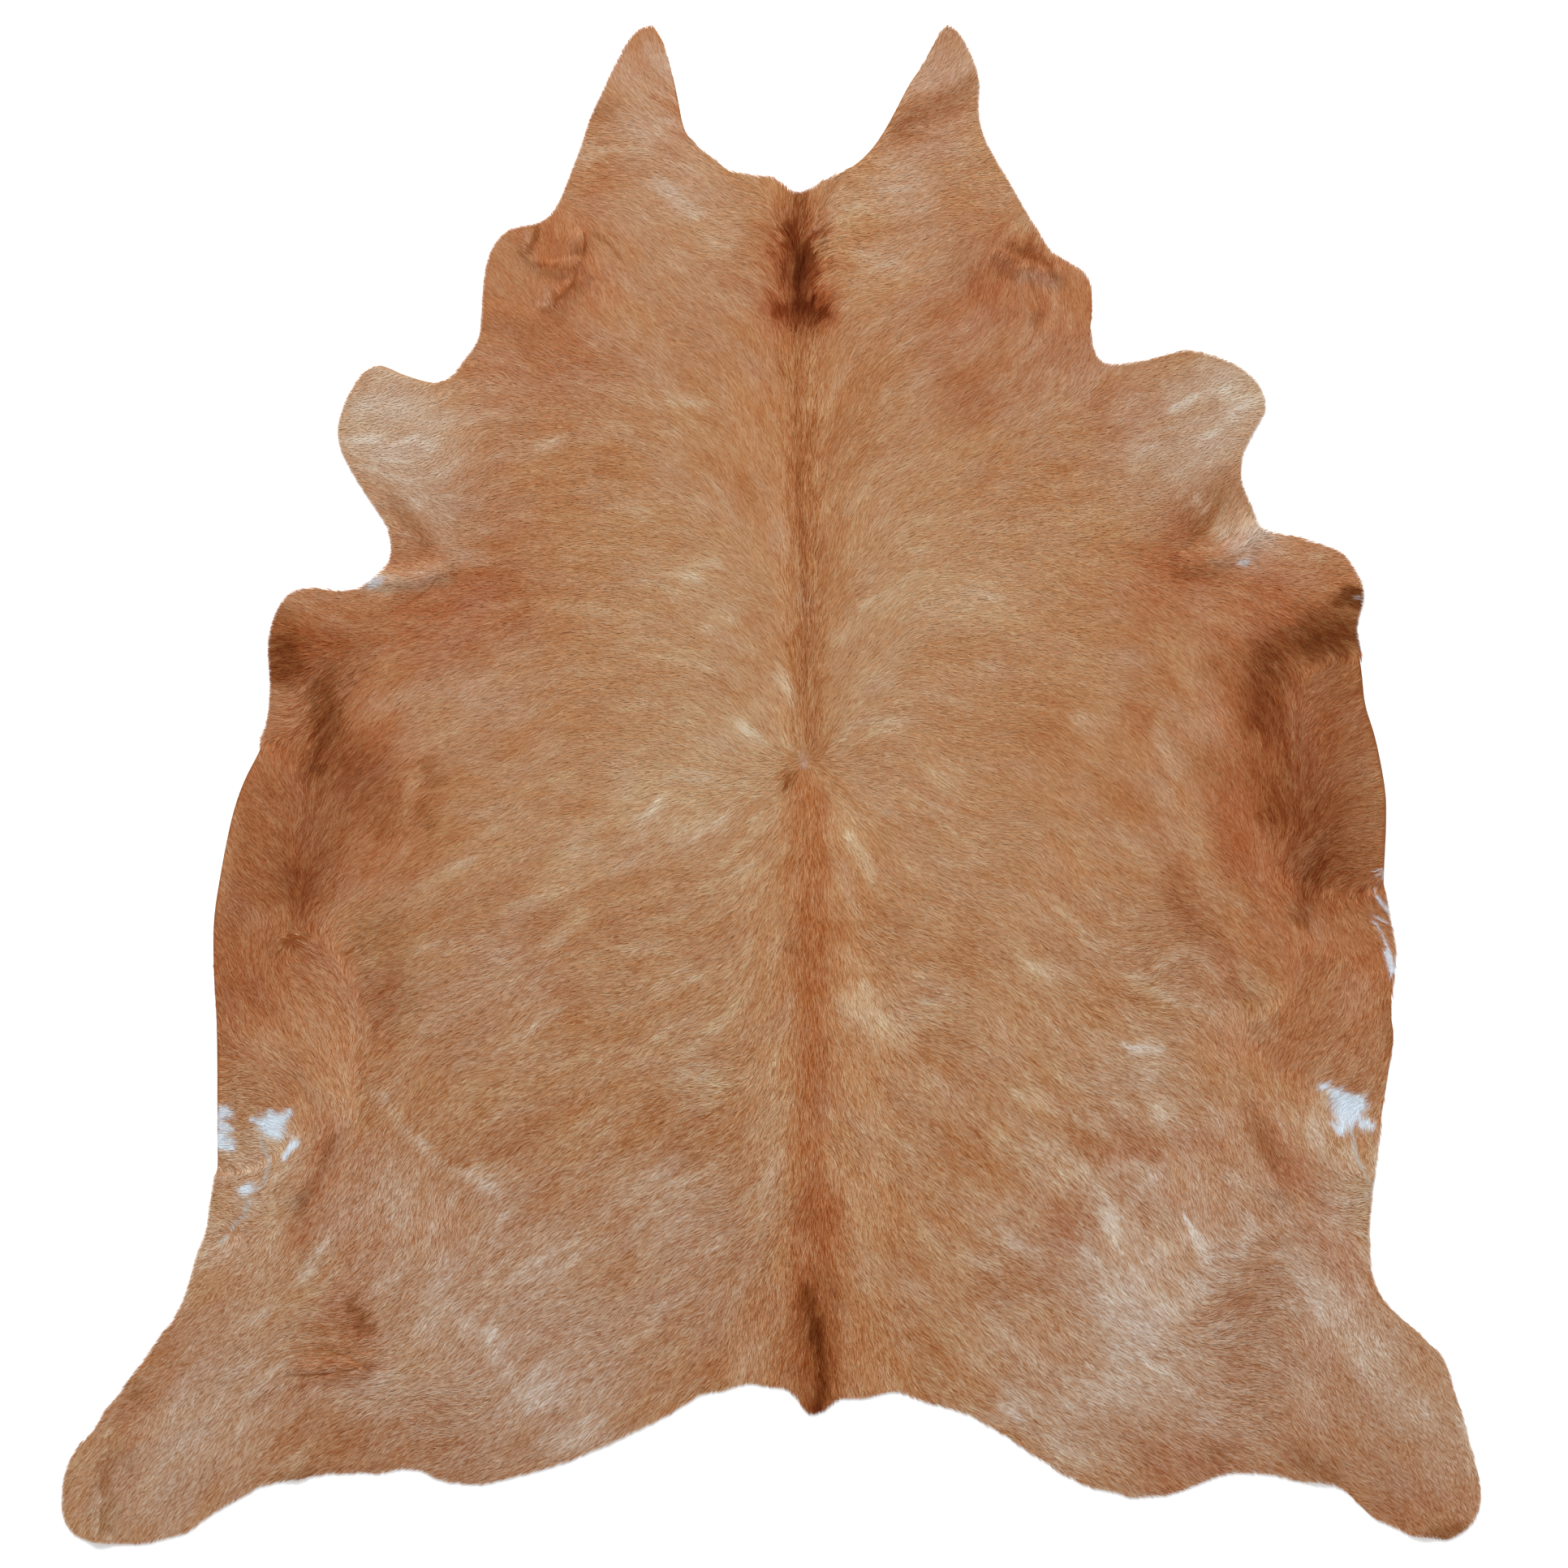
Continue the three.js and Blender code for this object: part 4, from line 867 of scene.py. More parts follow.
# Creases pressed into the hair side: depth in millimetres, negative for a small ridge, half
# the width in ruler steps, and the places that the crease runs through.
Crease = namedtuple("Crease", "depth half run")
CREASES = [
    Crease(1.1, 8, [(541, 712), (526, 728), (498, 746), (476, 756)]),
    Crease(0.8, 5, [(660, 279), (654, 292), (650, 306)]),
    Crease(0.8, 4, [(648, 314), (665, 325), (690, 331), (712, 328)]),
    Crease(1.1, 5, [(716, 338), (702, 358), (684, 378)]),
    Crease(0.7, 5, [(664, 350), (668, 372), (684, 380)]),
    Crease(0.9, 9, [(610, 394), (650, 406)]),
    Crease(0.8, 6, [(1226, 304), (1258, 314), (1291, 328)]),
    Crease(0.6, 6, [(1262, 332), (1274, 356), (1282, 392)]),
    Crease(1.5, 5, [(1461, 676), (1474, 686), (1486, 696)]),
    Crease(1.0, 5, [(1500, 673), (1508, 666), (1518, 660)]),
    Crease(0.7, 8, [(1538, 640), (1520, 610), (1500, 590)]),
    Crease(1.6, 7, [(379, 1316), (400, 1360), (410, 1385), (400, 1420), (376, 1470)]),
    Crease(1.4, 7, [(1546, 1371), (1556, 1400), (1570, 1460)]),
    Crease(1.6, 8, [(136, 1800), (132, 1846), (130, 1893)]),
    Crease(-0.8, 6, [(122, 1806), (118, 1846), (116, 1890)]),
    Crease(0.9, 5, [(356, 1694), (398, 1693), (440, 1687)]),
    Crease(0.9, 6, [(400, 1664), (430, 1672), (456, 1688)]),
    Crease(1.0, 7, [(388, 846), (392, 880), (396, 916)]),
    Crease(0.9, 8, [(374, 940), (372, 1040), (368, 1136)]),
    Crease(1.0, 9, [(1574, 830), (1592, 960), (1604, 1090)]),
    Crease(0.8, 5, [(984, 296), (984, 392)]),
    Crease(1.2, 5, [(973, 955), (968, 972)]),
    Crease(0.7, 7, [(1012, 1620), (1016, 1710)]),
]


# A swell stands beside each crease: its height as a share of the depth, and how many half
# widths it lies from the crease.
SWELL = 0.35
SWELL_AT = 2

# A mark fades over a rounded step: how many half widths out it has faded to 37 %, and how
# sharply. It is worked out to MARK_REACH half widths and PUSH_REACH beyond. A stroke with half
# the width RAGGED_HALF or more has its edge pushed in full, and a narrower one less.
FADE_AT = 1.15
FADE_POWER = 3
MARK_REACH = 2.6
PUSH_REACH = 0.02
RAGGED_HALF = 0.0100

# The lie is even within LIE_EVEN ruler steps of a row's place. A crown pulls this strongly.
LIE_EVEN = 20
CROWN_PULL = 1.6

# Points on each span of a smooth curve, and how many places are measured to the rim at once.
SPANS = 8
BATCH = 400
# A face of the solid is on its hair side when its normal points up by more than this share.
UPWARD = 0.3
# Bare edge round a bake map, as a share of it.
MAP_MARGIN = 0.01
PLAN_MARGIN = 0.03


class Plan:
    """An even grid over the hide's box, with values read between its points in proportion."""

    def __init__(self, pitch, margin=PLAN_MARGIN):
        self.pitch = pitch
        self.low = np.array([cad_low.x - margin, cad_low.y - margin])
        span = np.array([cad_high.x - cad_low.x, cad_high.y - cad_low.y]) + 2 * margin
        self.columns, self.rows = (np.ceil(span / pitch).astype(int) + 1).tolist()

    def places(self):
        """The grid's points in metres: rows by columns of X and Y."""
        x = self.low[0] + np.arange(self.columns) * self.pitch
        y = self.low[1] + np.arange(self.rows) * self.pitch
        return np.stack(np.meshgrid(x, y), axis=-1)

    def read(self, values, places):
        """Values at the places, each a weighted mean of the four grid points around it."""
        column = np.clip((places[..., 0] - self.low[0]) / self.pitch, 0, self.columns - 1.001)
        row = np.clip((places[..., 1] - self.low[1]) / self.pitch, 0, self.rows - 1.001)
        left = column.astype(np.int32)
        lower = row.astype(np.int32)
        across = (column - left).astype(np.float32)
        up = (row - lower).astype(np.float32)
        if values.ndim == 3:
            across = across[..., None]
            up = up[..., None]
        flat = values.reshape(self.rows * self.columns, *values.shape[2:])
        corner = lower * self.columns + left
        below = flat[corner] * (1 - across) + flat[corner + 1] * across
        above = flat[corner + self.columns] * (1 - across) + flat[corner + self.columns + 1] * across
        return below * (1 - up) + above * up


FIELD = Plan(0.012)
MAP = Plan(0.002)
STREAKS = Plan(0.004)


def soft_noise(plan, size, seed):
    """Even random numbers smoothed by a bell of that size, with mean 0 and spread 1."""
    raw = np.random.default_rng(seed).standard_normal((plan.rows, plan.columns))
    down = np.fft.fftfreq(plan.rows)[:, None]
    across = np.fft.rfftfreq(plan.columns)[None, :]
    bell = np.exp(-2 * (math.pi * size / plan.pitch) ** 2 * (down ** 2 + across ** 2))
    soft = np.fft.irfft2(np.fft.rfft2(raw) * bell, s=raw.shape)
    return ((soft - soft.mean()) / soft.std()).astype(np.float32)


def smooth_run(points):
    """A smooth curve through the points: a cubic on each span that leaves a point in the
    direction of the line between its neighbours."""
    points = np.asarray(points, float)
    if len(points) < 3:
        return points
    padded = np.concatenate([2 * points[:1] - points[1:2], points, 2 * points[-1:] - points[-2:-1]])
    before, start, end, after = (padded[k:len(padded) - 3 + k, None, :] for k in range(4))
    t = np.linspace(0, 1, SPANS, endpoint=False)[None, :, None]
    curve = 0.5 * (2 * start + (end - before) * t + (2 * before - 5 * start + 4 * end - after) * t ** 2
                   + (3 * start - before - 3 * end + after) * t ** 3)
    return np.concatenate([curve.reshape(-1, 2), points[-1:]])


def distance_to_run(places, run):
    """Distance from each place to the nearest piece of a run of points."""
    run = np.asarray(run, float)
    if len(run) == 1:
        return np.linalg.norm(places - run[0], axis=-1)
    nearest = np.full(places.shape[:-1], np.inf)
    for start, end in zip(run[:-1], run[1:]):
        along = end - start
        share = np.clip((places - start) @ along / max(along @ along, 1e-12), 0, 1)
        gap = places - start - share[..., None] * along
        nearest = np.minimum(nearest, np.hypot(gap[..., 0], gap[..., 1]))
    return nearest


def window(plan, run, reach):
    """The part of a plan's grid within reach of a run, as a pair of slices."""
    low = (run.min(axis=0) - reach - plan.low) / plan.pitch
    high = (run.max(axis=0) + reach - plan.low) / plan.pitch
    columns = slice(max(int(low[0]), 0), min(int(high[0]) + 2, plan.columns))
    rows = slice(max(int(low[1]), 0), min(int(high[1]) + 2, plan.rows))
    return rows, columns


def rim_pieces():
    """The straight pieces of the hide's cut rim, seen from above with the hide on their left:
    the sides of the CAD sheet's top faces that only one top face has."""
    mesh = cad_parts["hide"].data
    corners = np.empty(len(mesh.vertices) * 3)
    mesh.vertices.foreach_get("co", corners)
    merged, name = np.unique(corners.reshape(-1, 3).round(6), axis=0, return_inverse=True)
    faces = np.empty(len(mesh.polygons) * 3, int)
    mesh.polygons.foreach_get("vertices", faces)
    faces = name.reshape(-1)[faces].reshape(-1, 3)
    first, second, third = (merged[faces[:, k]] for k in range(3))
    normal = np.cross(second - first, third - first)
    upward = normal[:, 2] > UPWARD * np.linalg.norm(normal, axis=1)
    top = faces[upward]
    sides = np.concatenate([top[:, [0, 1]], top[:, [1, 2]], top[:, [2, 0]]])
    forward = sides[:, 0] * len(merged) + sides[:, 1]
    backward = sides[:, 1] * len(merged) + sides[:, 0]
    alone = ~np.isin(forward, backward)
    return merged[sides[alone, 0], :2], merged[sides[alone, 1], :2]


def distance_inside(places, starts, ends):
    """How far each place is inside the rim, negative outside it, with the nearest rim point.
    A place is inside when a ray along +X crosses the rim an odd number of times."""
    flat = places.reshape(-1, 2)
    depth = np.empty(len(flat))
    nearest = np.empty_like(flat)
    along = ends - starts
    length2 = (along ** 2).sum(axis=1)
    rise = np.where(along[:, 1] == 0, 1e-12, along[:, 1])
    for part in np.array_split(np.arange(len(flat)), max(1, len(flat) // BATCH)):
        p = flat[part, None, :]
        share = np.clip(((p - starts) * along).sum(axis=2) / length2, 0, 1)
        gap = p - starts - share[..., None] * along
        distance2 = (gap ** 2).sum(axis=2)
        chosen = distance2.argmin(axis=1)
        rows = np.arange(len(part))
        nearest[part] = starts[chosen] + share[rows, chosen][:, None] * along[chosen]
        spans = (starts[:, 1] > p[..., 1]) != (ends[:, 1] > p[..., 1])
        cross = starts[:, 0] + (p[..., 1] - starts[:, 1]) * along[:, 0] / rise
        odd = ((spans & (p[..., 0] < cross)).sum(axis=1) % 2) == 1
        depth[part] = np.sqrt(distance2[rows, chosen]) * np.where(odd, 1, -1)
    return depth.reshape(places.shape[:-1]), nearest.reshape(places.shape)


RIM_STARTS, RIM_ENDS = rim_pieces()
RIM_MAP = Plan(0.006)
RIM_DEPTH, _ = distance_inside(RIM_MAP.places(), RIM_STARTS, RIM_ENDS)


def lift_map(plan):
    """Height of the sheet's underside: each fold is a round-topped ridge, a cosine bell of the
    distance to its crest."""
    lift = np.zeros((plan.rows, plan.columns))
    places = plan.places()
    for fold in FOLDS:
        run = smooth_run(np.asarray(fold.crest, float) * MILLIMETRE + FOLD_ORIGIN)
        reach = fold.reach * MILLIMETRE
        rows, columns = window(plan, run, reach)
        share = np.minimum(distance_to_run(places[rows, columns], run) / reach, 1)
        lift[rows, columns] += fold.lift * MILLIMETRE * (1 + np.cos(math.pi * share)) / 2
    return lift


def crease_map(plan):
    """Depth of the creases: each is a bell curve of the distance to its run, shallow at its
    ends, with a low swell beside it where the skin is pushed up."""
    sunk = np.zeros((plan.rows, plan.columns))
    places = plan.places()
    for crease in CREASES:
        run = smooth_run(at(crease.run))
        half = crease.half * STEP
        rows, columns = window(plan, run, 4 * half)
        share = distance_to_run(places[rows, columns], run) / half
        bell = np.exp(-share ** 2) - SWELL * np.exp(-(share - SWELL_AT) ** 2)
        sunk[rows, columns] += crease.depth * MILLIMETRE * bell
    return sunk


def mark_map(plan, marks, ragged):
    """One kind of mark: for each stroke a rounded step of the distance to its run. Strokes that
    overlap add up towards 1: what is left over from 1 is multiplied. The places are first
    pushed about by the ragged offsets, less for a narrow stroke."""
    value = np.zeros((plan.rows, plan.columns))
    places = plan.places()
    for mark in marks:
        run = smooth_run(at(mark.run))
        half = mark.half * STEP
        rows, columns = window(plan, run, MARK_REACH * half + PUSH_REACH)
        pushed = places[rows, columns] + ragged[rows, columns] * min(half / RAGGED_HALF, 1)
        share = distance_to_run(pushed, run) / half
        soft = mark.strength * np.exp(-(share / FADE_AT) ** FADE_POWER)
        old = value[rows, columns]
        value[rows, columns] = 1 - (1 - old) * (1 - soft)
    return value.astype(np.float32)


def lie_map(plan):
    """Mean headings of the hair: the rows' headings, each weighed by one over the fourth power
    of its distance, which is softened close to the row's place."""
    rows = [row for part in LIES.values() for row in part]
    spots = at([(row.across, row.down) for row in rows])
    turns = np.radians([row.heading for row in rows])
    headings = np.stack([np.cos(turns), np.sin(turns)], axis=1)
    places = plan.places()
    gap2 = ((places[:, :, None, :] - spots) ** 2).sum(axis=3)
    weight = 1 / (gap2 + (LIE_EVEN * STEP) ** 2) ** 2
    return weight @ headings / weight.sum(axis=2)[..., None]


def lie_at(places):
    """Unit headings of the hair at any places: the mean heading there, with the crowns' outward
    headings added near them, turned to and fro by soft waves."""
    lie = FIELD.read(LIE_FIELD, places)
    lie = lie / np.maximum(np.hypot(lie[..., 0], lie[..., 1]), 1e-6)[..., None]
    for crown in CROWNS:
        away = places - at([(crown.across, crown.down)])[0]
        gap = np.hypot(away[..., 0], away[..., 1])[..., None]
        pull = CROWN_PULL * np.exp(-(gap / (crown.reach * STEP)) ** 2)
        lie = lie + pull * away / np.maximum(gap, 1e-5)
    turn = MAP.read(WAVES, places)
    bent = np.stack([
        lie[..., 0] * np.cos(turn) - lie[..., 1] * np.sin(turn),
        lie[..., 0] * np.sin(turn) + lie[..., 1] * np.cos(turn),
    ], axis=-1)
    return bent / np.maximum(np.hypot(bent[..., 0], bent[..., 1]), 1e-6)[..., None]


def combed(plan, lie, noise, length):
    """Noise drawn out along the hair: its mean over a path of that length that follows the
    lie both ways from each grid point, brought back to mean 0 and spread 1."""
    steps = max(1, round(length / 2 / plan.pitch))
    start = plan.places().astype(np.float32)
    known = np.dstack([lie, noise]).astype(np.float32)
    total = noise.copy()
    for way in (1, -1):
        places = start
        found = known
        for _ in range(steps):
            places = places + np.float32(way * plan.pitch) * found[..., :2]
            found = plan.read(known, places)
            total += found[..., 2]
    return (total - total.mean()) / total.std()


# Random waves in the lie: how far they turn it in degrees, and their size.
Wave = namedtuple("Wave", "turn size seed")
SMALL_WAVES = Wave(3, 0.010, 11)
LARGE_WAVES = Wave(5, 0.035, 12)


def waves(wave):
    """How far the lie is turned at each point of the map, in radians."""
    return math.radians(wave.turn) * soft_noise(MAP, wave.size, wave.seed)


LIE_FIELD = lie_map(FIELD)
WAVES = waves(SMALL_WAVES) + waves(LARGE_WAVES)
MAP_LIE = lie_at(MAP.places())
STREAK_LIE = lie_at(STREAKS.places())
LIFT = lift_map(MAP)
CREASE = crease_map(MAP)
# Random streaks drawn out along the lie: their size across it and their length along it.
Streak = namedtuple("Streak", "size length seed")
FINE = Streak(0.0016, 0.016, 31)
LOCKS = Streak(0.0035, 0.034, 32)
BROAD = Streak(0.0060, 0.076, 33)
BANDS = Streak(0.018, 0.120, 34)
COOL = Streak(0.0080, 0.050, 35)


def streaked(plan, lie, streak):
    """Streaks of one kind on a plan's grid, with mean 0 and spread 1."""
    return combed(plan, lie, soft_noise(plan, streak.size, streak.seed), streak.length)


TONE_FINE = streaked(MAP, MAP_LIE, FINE)
TONE_LOCKS = streaked(MAP, MAP_LIE, LOCKS)
TONE_STREAKS = streaked(STREAKS, STREAK_LIE, BROAD)
TONE_BANDS = streaked(STREAKS, STREAK_LIE, BANDS)
COOL_STREAKS = streaked(STREAKS, STREAK_LIE, COOL)

# How far each kind of streak moves the tone of the hair.
STREAK_TONE = 0.040
BAND_TONE = 0.030
FINE_HAIR_TONE = 0.036
LOCK_TONE = 0.017
WISP_TONE = 0.034
BROAD_TONE = STREAK_TONE * TONE_STREAKS + BAND_TONE * TONE_BANDS
# Light wisps: locks that stand out where the streaks and the bands are light as well. WISP_PULL
# is how much the broad tone counts. A wisp's strength is what passes WISP_FROM, up to WISP_MOST.
WISP_PULL = 12.0
WISP_FROM = 0.4
WISP_MOST = 3
WISPS = np.clip(TONE_LOCKS + WISP_PULL * STREAKS.read(BROAD_TONE, MAP.places()) - WISP_FROM, 0, WISP_MOST)
FINE_TONE = FINE_HAIR_TONE * TONE_FINE + LOCK_TONE * TONE_LOCKS + WISP_TONE * (WISPS - WISPS.mean())
# How unevenly the dark marks, dark hair and painted shade alike, and the rust take: lock by lock,
# and between fine streaks.
UNEVEN_LOCKS = 0.05
UNEVEN_FINE = 0.11
UNEVEN = UNEVEN_LOCKS * TONE_LOCKS + UNEVEN_FINE * TONE_FINE

# The edges of the marks are pushed to and fro along the hair: how far by locks and fine streaks.
PUSH_LOCKS = 0.0045
PUSH_FINE = 0.0030
RAGGED = MAP_LIE * (PUSH_LOCKS * TONE_LOCKS + PUSH_FINE * TONE_FINE)[..., None]
SMOOTH_EDGED = ("bare", "slit", "short", "long")
MARK_MAPS = {kind: mark_map(MAP, marks, RAGGED * (kind not in SMOOTH_EDGED))
             for kind, marks in MARKS.items()}


class Value:
    """A socket that holds a number. A calculation with it adds a Math node."""

    def __init__(self, finish, socket):
        self.finish = finish
        self.socket = socket

    def using(self, operation, *others):
        return self.finish.math(operation, self, *others)

    def __add__(self, other):
        return self.using("ADD", other)

    def __sub__(self, other):
        return self.using("SUBTRACT", other)

    def __mul__(self, other):
        return self.using("MULTIPLY", other)

    def __rsub__(self, other):
        return self.finish.math("SUBTRACT", other, self)

    __radd__ = __add__


class Finish:
    """A material and the nodes that paint it."""

    def __init__(self, name):
        self.material = bpy.data.materials.new(name)
        self.material.use_nodes = True
        self.tree = self.material.node_tree
        self.tree.nodes.clear()

    def node(self, kind, settings=None, sockets=None):
        """Adds a node, makes its settings and then fills its sockets, by name or number, with
        values or links. A setting named stops is a ramp's list of (place, colour)."""
        node = self.tree.nodes.new(kind)
        for key, value in (settings or {}).items():
            if key == "stops":
                ramp = node.color_ramp
                while len(ramp.elements) < len(value):
                    ramp.elements.new(0.5)
                for element, (place, colour) in zip(ramp.elements, value):
                    element.position = place
                    element.color = colour
            else:
                setattr(node, key, value)
        for key, value in (sockets or {}).items():
            socket = node.inputs[key]
            source = value.socket if isinstance(value, Value) else value
            if isinstance(source, bpy.types.NodeSocket):
                self.tree.links.new(source, socket)
            else:
                socket.default_value = source
        return node

    def value(self, node, output=0):
        return Value(self, node.outputs[output])

    def math(self, operation, *operands):
        node = self.node("ShaderNodeMath", {"operation": operation}, dict(enumerate(operands)))
        return self.value(node)

    def attribute(self, name):
        return self.node("ShaderNodeAttribute", {"attribute_name": name})

    def clamp(self, value):
        """The value held between 0 and 1."""
        return self.value(self.node("ShaderNodeClamp", None, {"Value": value, "Min": 0.0, "Max": 1.0}))

    def mix(self, factor, first, second, blend="MIX"):
        """The first colour with the second laid over it by the factor."""
        node = self.node("ShaderNodeMix", {"data_type": "RGBA", "blend_type": blend},
                         {0: factor, 6: first, 7: second})
        return node.outputs[2]

    def colour(self, red, green, blue):
        """A colour made of three values."""
        return self.node("ShaderNodeCombineColor", None, {0: red, 1: green, 2: blue}).outputs[0]

    def noise(self, place, scale, detail, roughness=0.5):
        node = self.node("ShaderNodeTexNoise", {"noise_dimensions": "3D"},
                         {"Vector": place, "Scale": scale, "Detail": detail, "Roughness": roughness})
        return self.value(node)

    def shade(self, colour, roughness, gloss, bump=None):
        """The surface: colour and roughness that may vary, a bump, and a fixed strength of gloss."""
        sockets = {"Base Color": colour, "Roughness": roughness, "Specular IOR Level": gloss}
        if bump is not None:
            height, distance = bump
            sockets["Normal"] = self.node("ShaderNodeBump", None, {
                "Strength": 1.0, "Distance": distance, "Height": height}).outputs[0]
        shader = self.node("ShaderNodeBsdfPrincipled", None, sockets)
        self.node("ShaderNodeOutputMaterial", None, {"Surface": shader.outputs[0]})
        return self.material


def paint(red, green, blue):
    """A colour given in steps of 0 to 255, as the shader's linear colour: the usual curve of
    power 2.4, with a straight foot in the darkest tones."""
    steps = np.array([red, green, blue]) / 255
    linear = np.where(steps <= 0.04045, steps / 12.92, ((steps + 0.055) / 1.055) ** 2.4)
    return (*linear.tolist(), 1.0)


# The coat's colours by tone, from dark to light: a tan and a cooler, greyer one.
TAN_TONES = [
    (0.00, paint(138, 70, 30)),
    (0.28, paint(157, 98, 56)),
    (0.50, paint(172, 126, 88)),
    (0.72, paint(184, 153, 120)),
    (1.00, paint(204, 189, 164)),
]
COOL_TONES = [
    (0.00, paint(136, 82, 48)),
    (0.28, paint(159, 110, 79)),
    (0.50, paint(174, 139, 114)),
    (0.72, paint(188, 167, 151)),
    (1.00, paint(206, 199, 195)),
]
# What the coat is multiplied by under a full rust or dark mark, and what it is whitened with
# and bared to.
RUST_STAIN = paint(236, 198, 184)
# The dark tint serves dark brown hair and the painted shade of creases, rolls and rims.
DARK_AND_SHADE_TINT = paint(116, 78, 44)
WHITE_HAIR = paint(205, 220, 230)
WHITE_BLEND = 0.5
BARE_SKIN = paint(172, 170, 166)
# Painted shade for red, green and blue: the share kept at a strand's root, the share that the
# deepest strands lose, and the share kept in the undercoat between the strands. A strand grows
# lighter up to TIP_LIGHT at its tip, painted light on the tips.
ROOT_SHADES = (0.79, 0.70, 0.56)
DEEP_SHADES = (0.17, 0.25, 0.34)
UNDERCOAT_SHADES = (0.68, 0.58, 0.48)
TIP_LIGHT = 1.09
# A strand's own number, about 0 to 1, moves its tone by this much in all. The lowest ones are
# darkened by painted shade: fully so at 0 and below, and not at all from one part in DEEP_FEW.
STRAND_TONE = 0.6
DEEP_FEW = 7.0
# The pile of the undercoat moves its tone and its shade by this much in all.
PILE_TONE = 0.6
PILE_SHADE = 0.3


def coat_colour(finish, tone, shades):
    """The coat's colour: a tan and a cooler ramp by tone, -1 to 1, multiplied by a painted shade for
    each of red, green and blue and by the rust and dark tints, each raised to the strength of its
    marks, then whitened and bared. The dark marks are partly painted shade."""
    dark, rust, cool, white, bare = (finish.value(finish.attribute(kind), "Fac") for kind in COLOURS)
    place = finish.clamp(tone * 0.5 + 0.5)
    tan = finish.node("ShaderNodeValToRGB", {"stops": TAN_TONES}, {0: place}).outputs[0]
    grey = finish.node("ShaderNodeValToRGB", {"stops": COOL_TONES}, {0: place}).outputs[0]
    colour = finish.mix(cool, tan, grey)
    stain_and_shade = [finish.math("POWER", RUST_STAIN[k], rust) * finish.math("POWER", DARK_AND_SHADE_TINT[k], dark)
             * shades[k] for k in range(3)]
    colour = finish.mix(1.0, colour, finish.colour(*stain_and_shade), "MULTIPLY")
    colour = finish.mix(white, colour, finish.mix(WHITE_BLEND, WHITE_HAIR, colour, "SOFT_LIGHT"))
    return finish.mix(bare, colour, BARE_SKIN)


def hair_finish():
    """Strands of hair: shaded from root to tip, each a little lighter or darker than the next.
    The lowest ones are deeper and warmer, as if in the shade of those above."""
    finish = Finish("lying_hair")
    spread = finish.node("ShaderNodeUVMap", {"uv_map": "Strand"}).outputs[0]
    along = finish.value(finish.node("ShaderNodeSeparateXYZ", None, {0: spread}), 1)
    strand = finish.value(finish.attribute("strand"), "Fac")
    tone = finish.value(finish.attribute("tone"), "Fac") + (strand - 0.5) * STRAND_TONE
    # Painted shade: each strand darker at its root, with painted light towards its tip, and the deepest
    # strands darker still.
    deep_shade = finish.clamp(1.0 - strand * DEEP_FEW)
    shades = [(root + along * (TIP_LIGHT - root)) * (1.0 - deep_shade * dark)
              for root, dark in zip(ROOT_SHADES, DEEP_SHADES)]
    colour = coat_colour(finish, tone, shades)
    return finish.shade(colour, roughness=0.65, gloss=0.04)


def undercoat_finish():
    """Short dense hair seen between the locks: the coat's colour in shade, with a fine pile."""
    finish = Finish("undercoat")
    place = finish.node("ShaderNodeTexCoord").outputs["Object"]
    pile = finish.noise(place, scale=700.0, detail=2.0)
    tone = finish.value(finish.attribute("tone"), "Fac") + (pile - 0.5) * PILE_TONE
    # The undercoat's painted shade, varied by its pile.
    shades = [pile * PILE_SHADE + (shade - PILE_SHADE / 2) for shade in UNDERCOAT_SHADES]
    colour = coat_colour(finish, tone, shades)
    return finish.shade(colour, roughness=0.85, gloss=0.06, bump=(pile, 0.0006))


def suede_finish():
    """Flesh side and cut edge: pale suede with a soft nap, faint fibres and cloudy shade."""
    finish = Finish("suede")
    place = finish.node("ShaderNodeTexCoord").outputs["Object"]
    clouds = finish.noise(place, scale=9.0, detail=3.0)
    nap = finish.noise(place, scale=420.0, detail=3.0, roughness=0.65)
    nap_shade = 0.35
    colour = finish.mix(clouds, paint(196, 180, 158), paint(222, 210, 192))
    colour = finish.mix(nap * nap_shade, colour, paint(150, 132, 110))
    return finish.shade(colour, roughness=0.92, gloss=0.15, bump=(nap, 0.0005))


def give_values(mesh, name, values):
    """Stores one number for each vertex."""
    layer = mesh.attributes.new(name, "FLOAT", "POINT")
    layer.data.foreach_set("value", np.asarray(values, np.float32))


def hindward(places):
    """0 over the fore half of the hide, rising smoothly to 1 over the rump, where the coat is
    more streaked and its strands differ more."""
    share = np.clip((at((0, HIND_FROM))[1] - places[:, 1]) / (HIND_RISE * STEP), 0, 1)
    return share * share * (3 - 2 * share)


# How far full marks lighten or darken the tone, and the tone of the coat without any.
CREAM_LIGHT = 0.8
PALE_LIGHT = 0.9
BROWN_DARK = 0.6
TONE_BASE = 0.03
# Light marks take this much evenly, and this much more for each step of the wisps.
LIGHT_EVEN = 0.8
LIGHT_WISPS = 0.3
# Pale marks are cool as well, and the whole coat is a little cool, more or less by streaks.
PALE_COOL = 0.8
COOL_BASE = 0.05
COOL_SPREAD = 0.11
# Slits are darkened with painted shade. Dark marks and rust take unevenly within these bounds,
# and rust takes this much evenly.
SLIT_SHADE = 0.3
STAIN_BOUNDS = (0.2, 1.8)
RUST_EVEN = 0.4
# Broad streaks are stronger over the rump, and all streaks are weaker in short hair.
HIND_STREAKS = 0.3
SHORT_CALM = 0.4


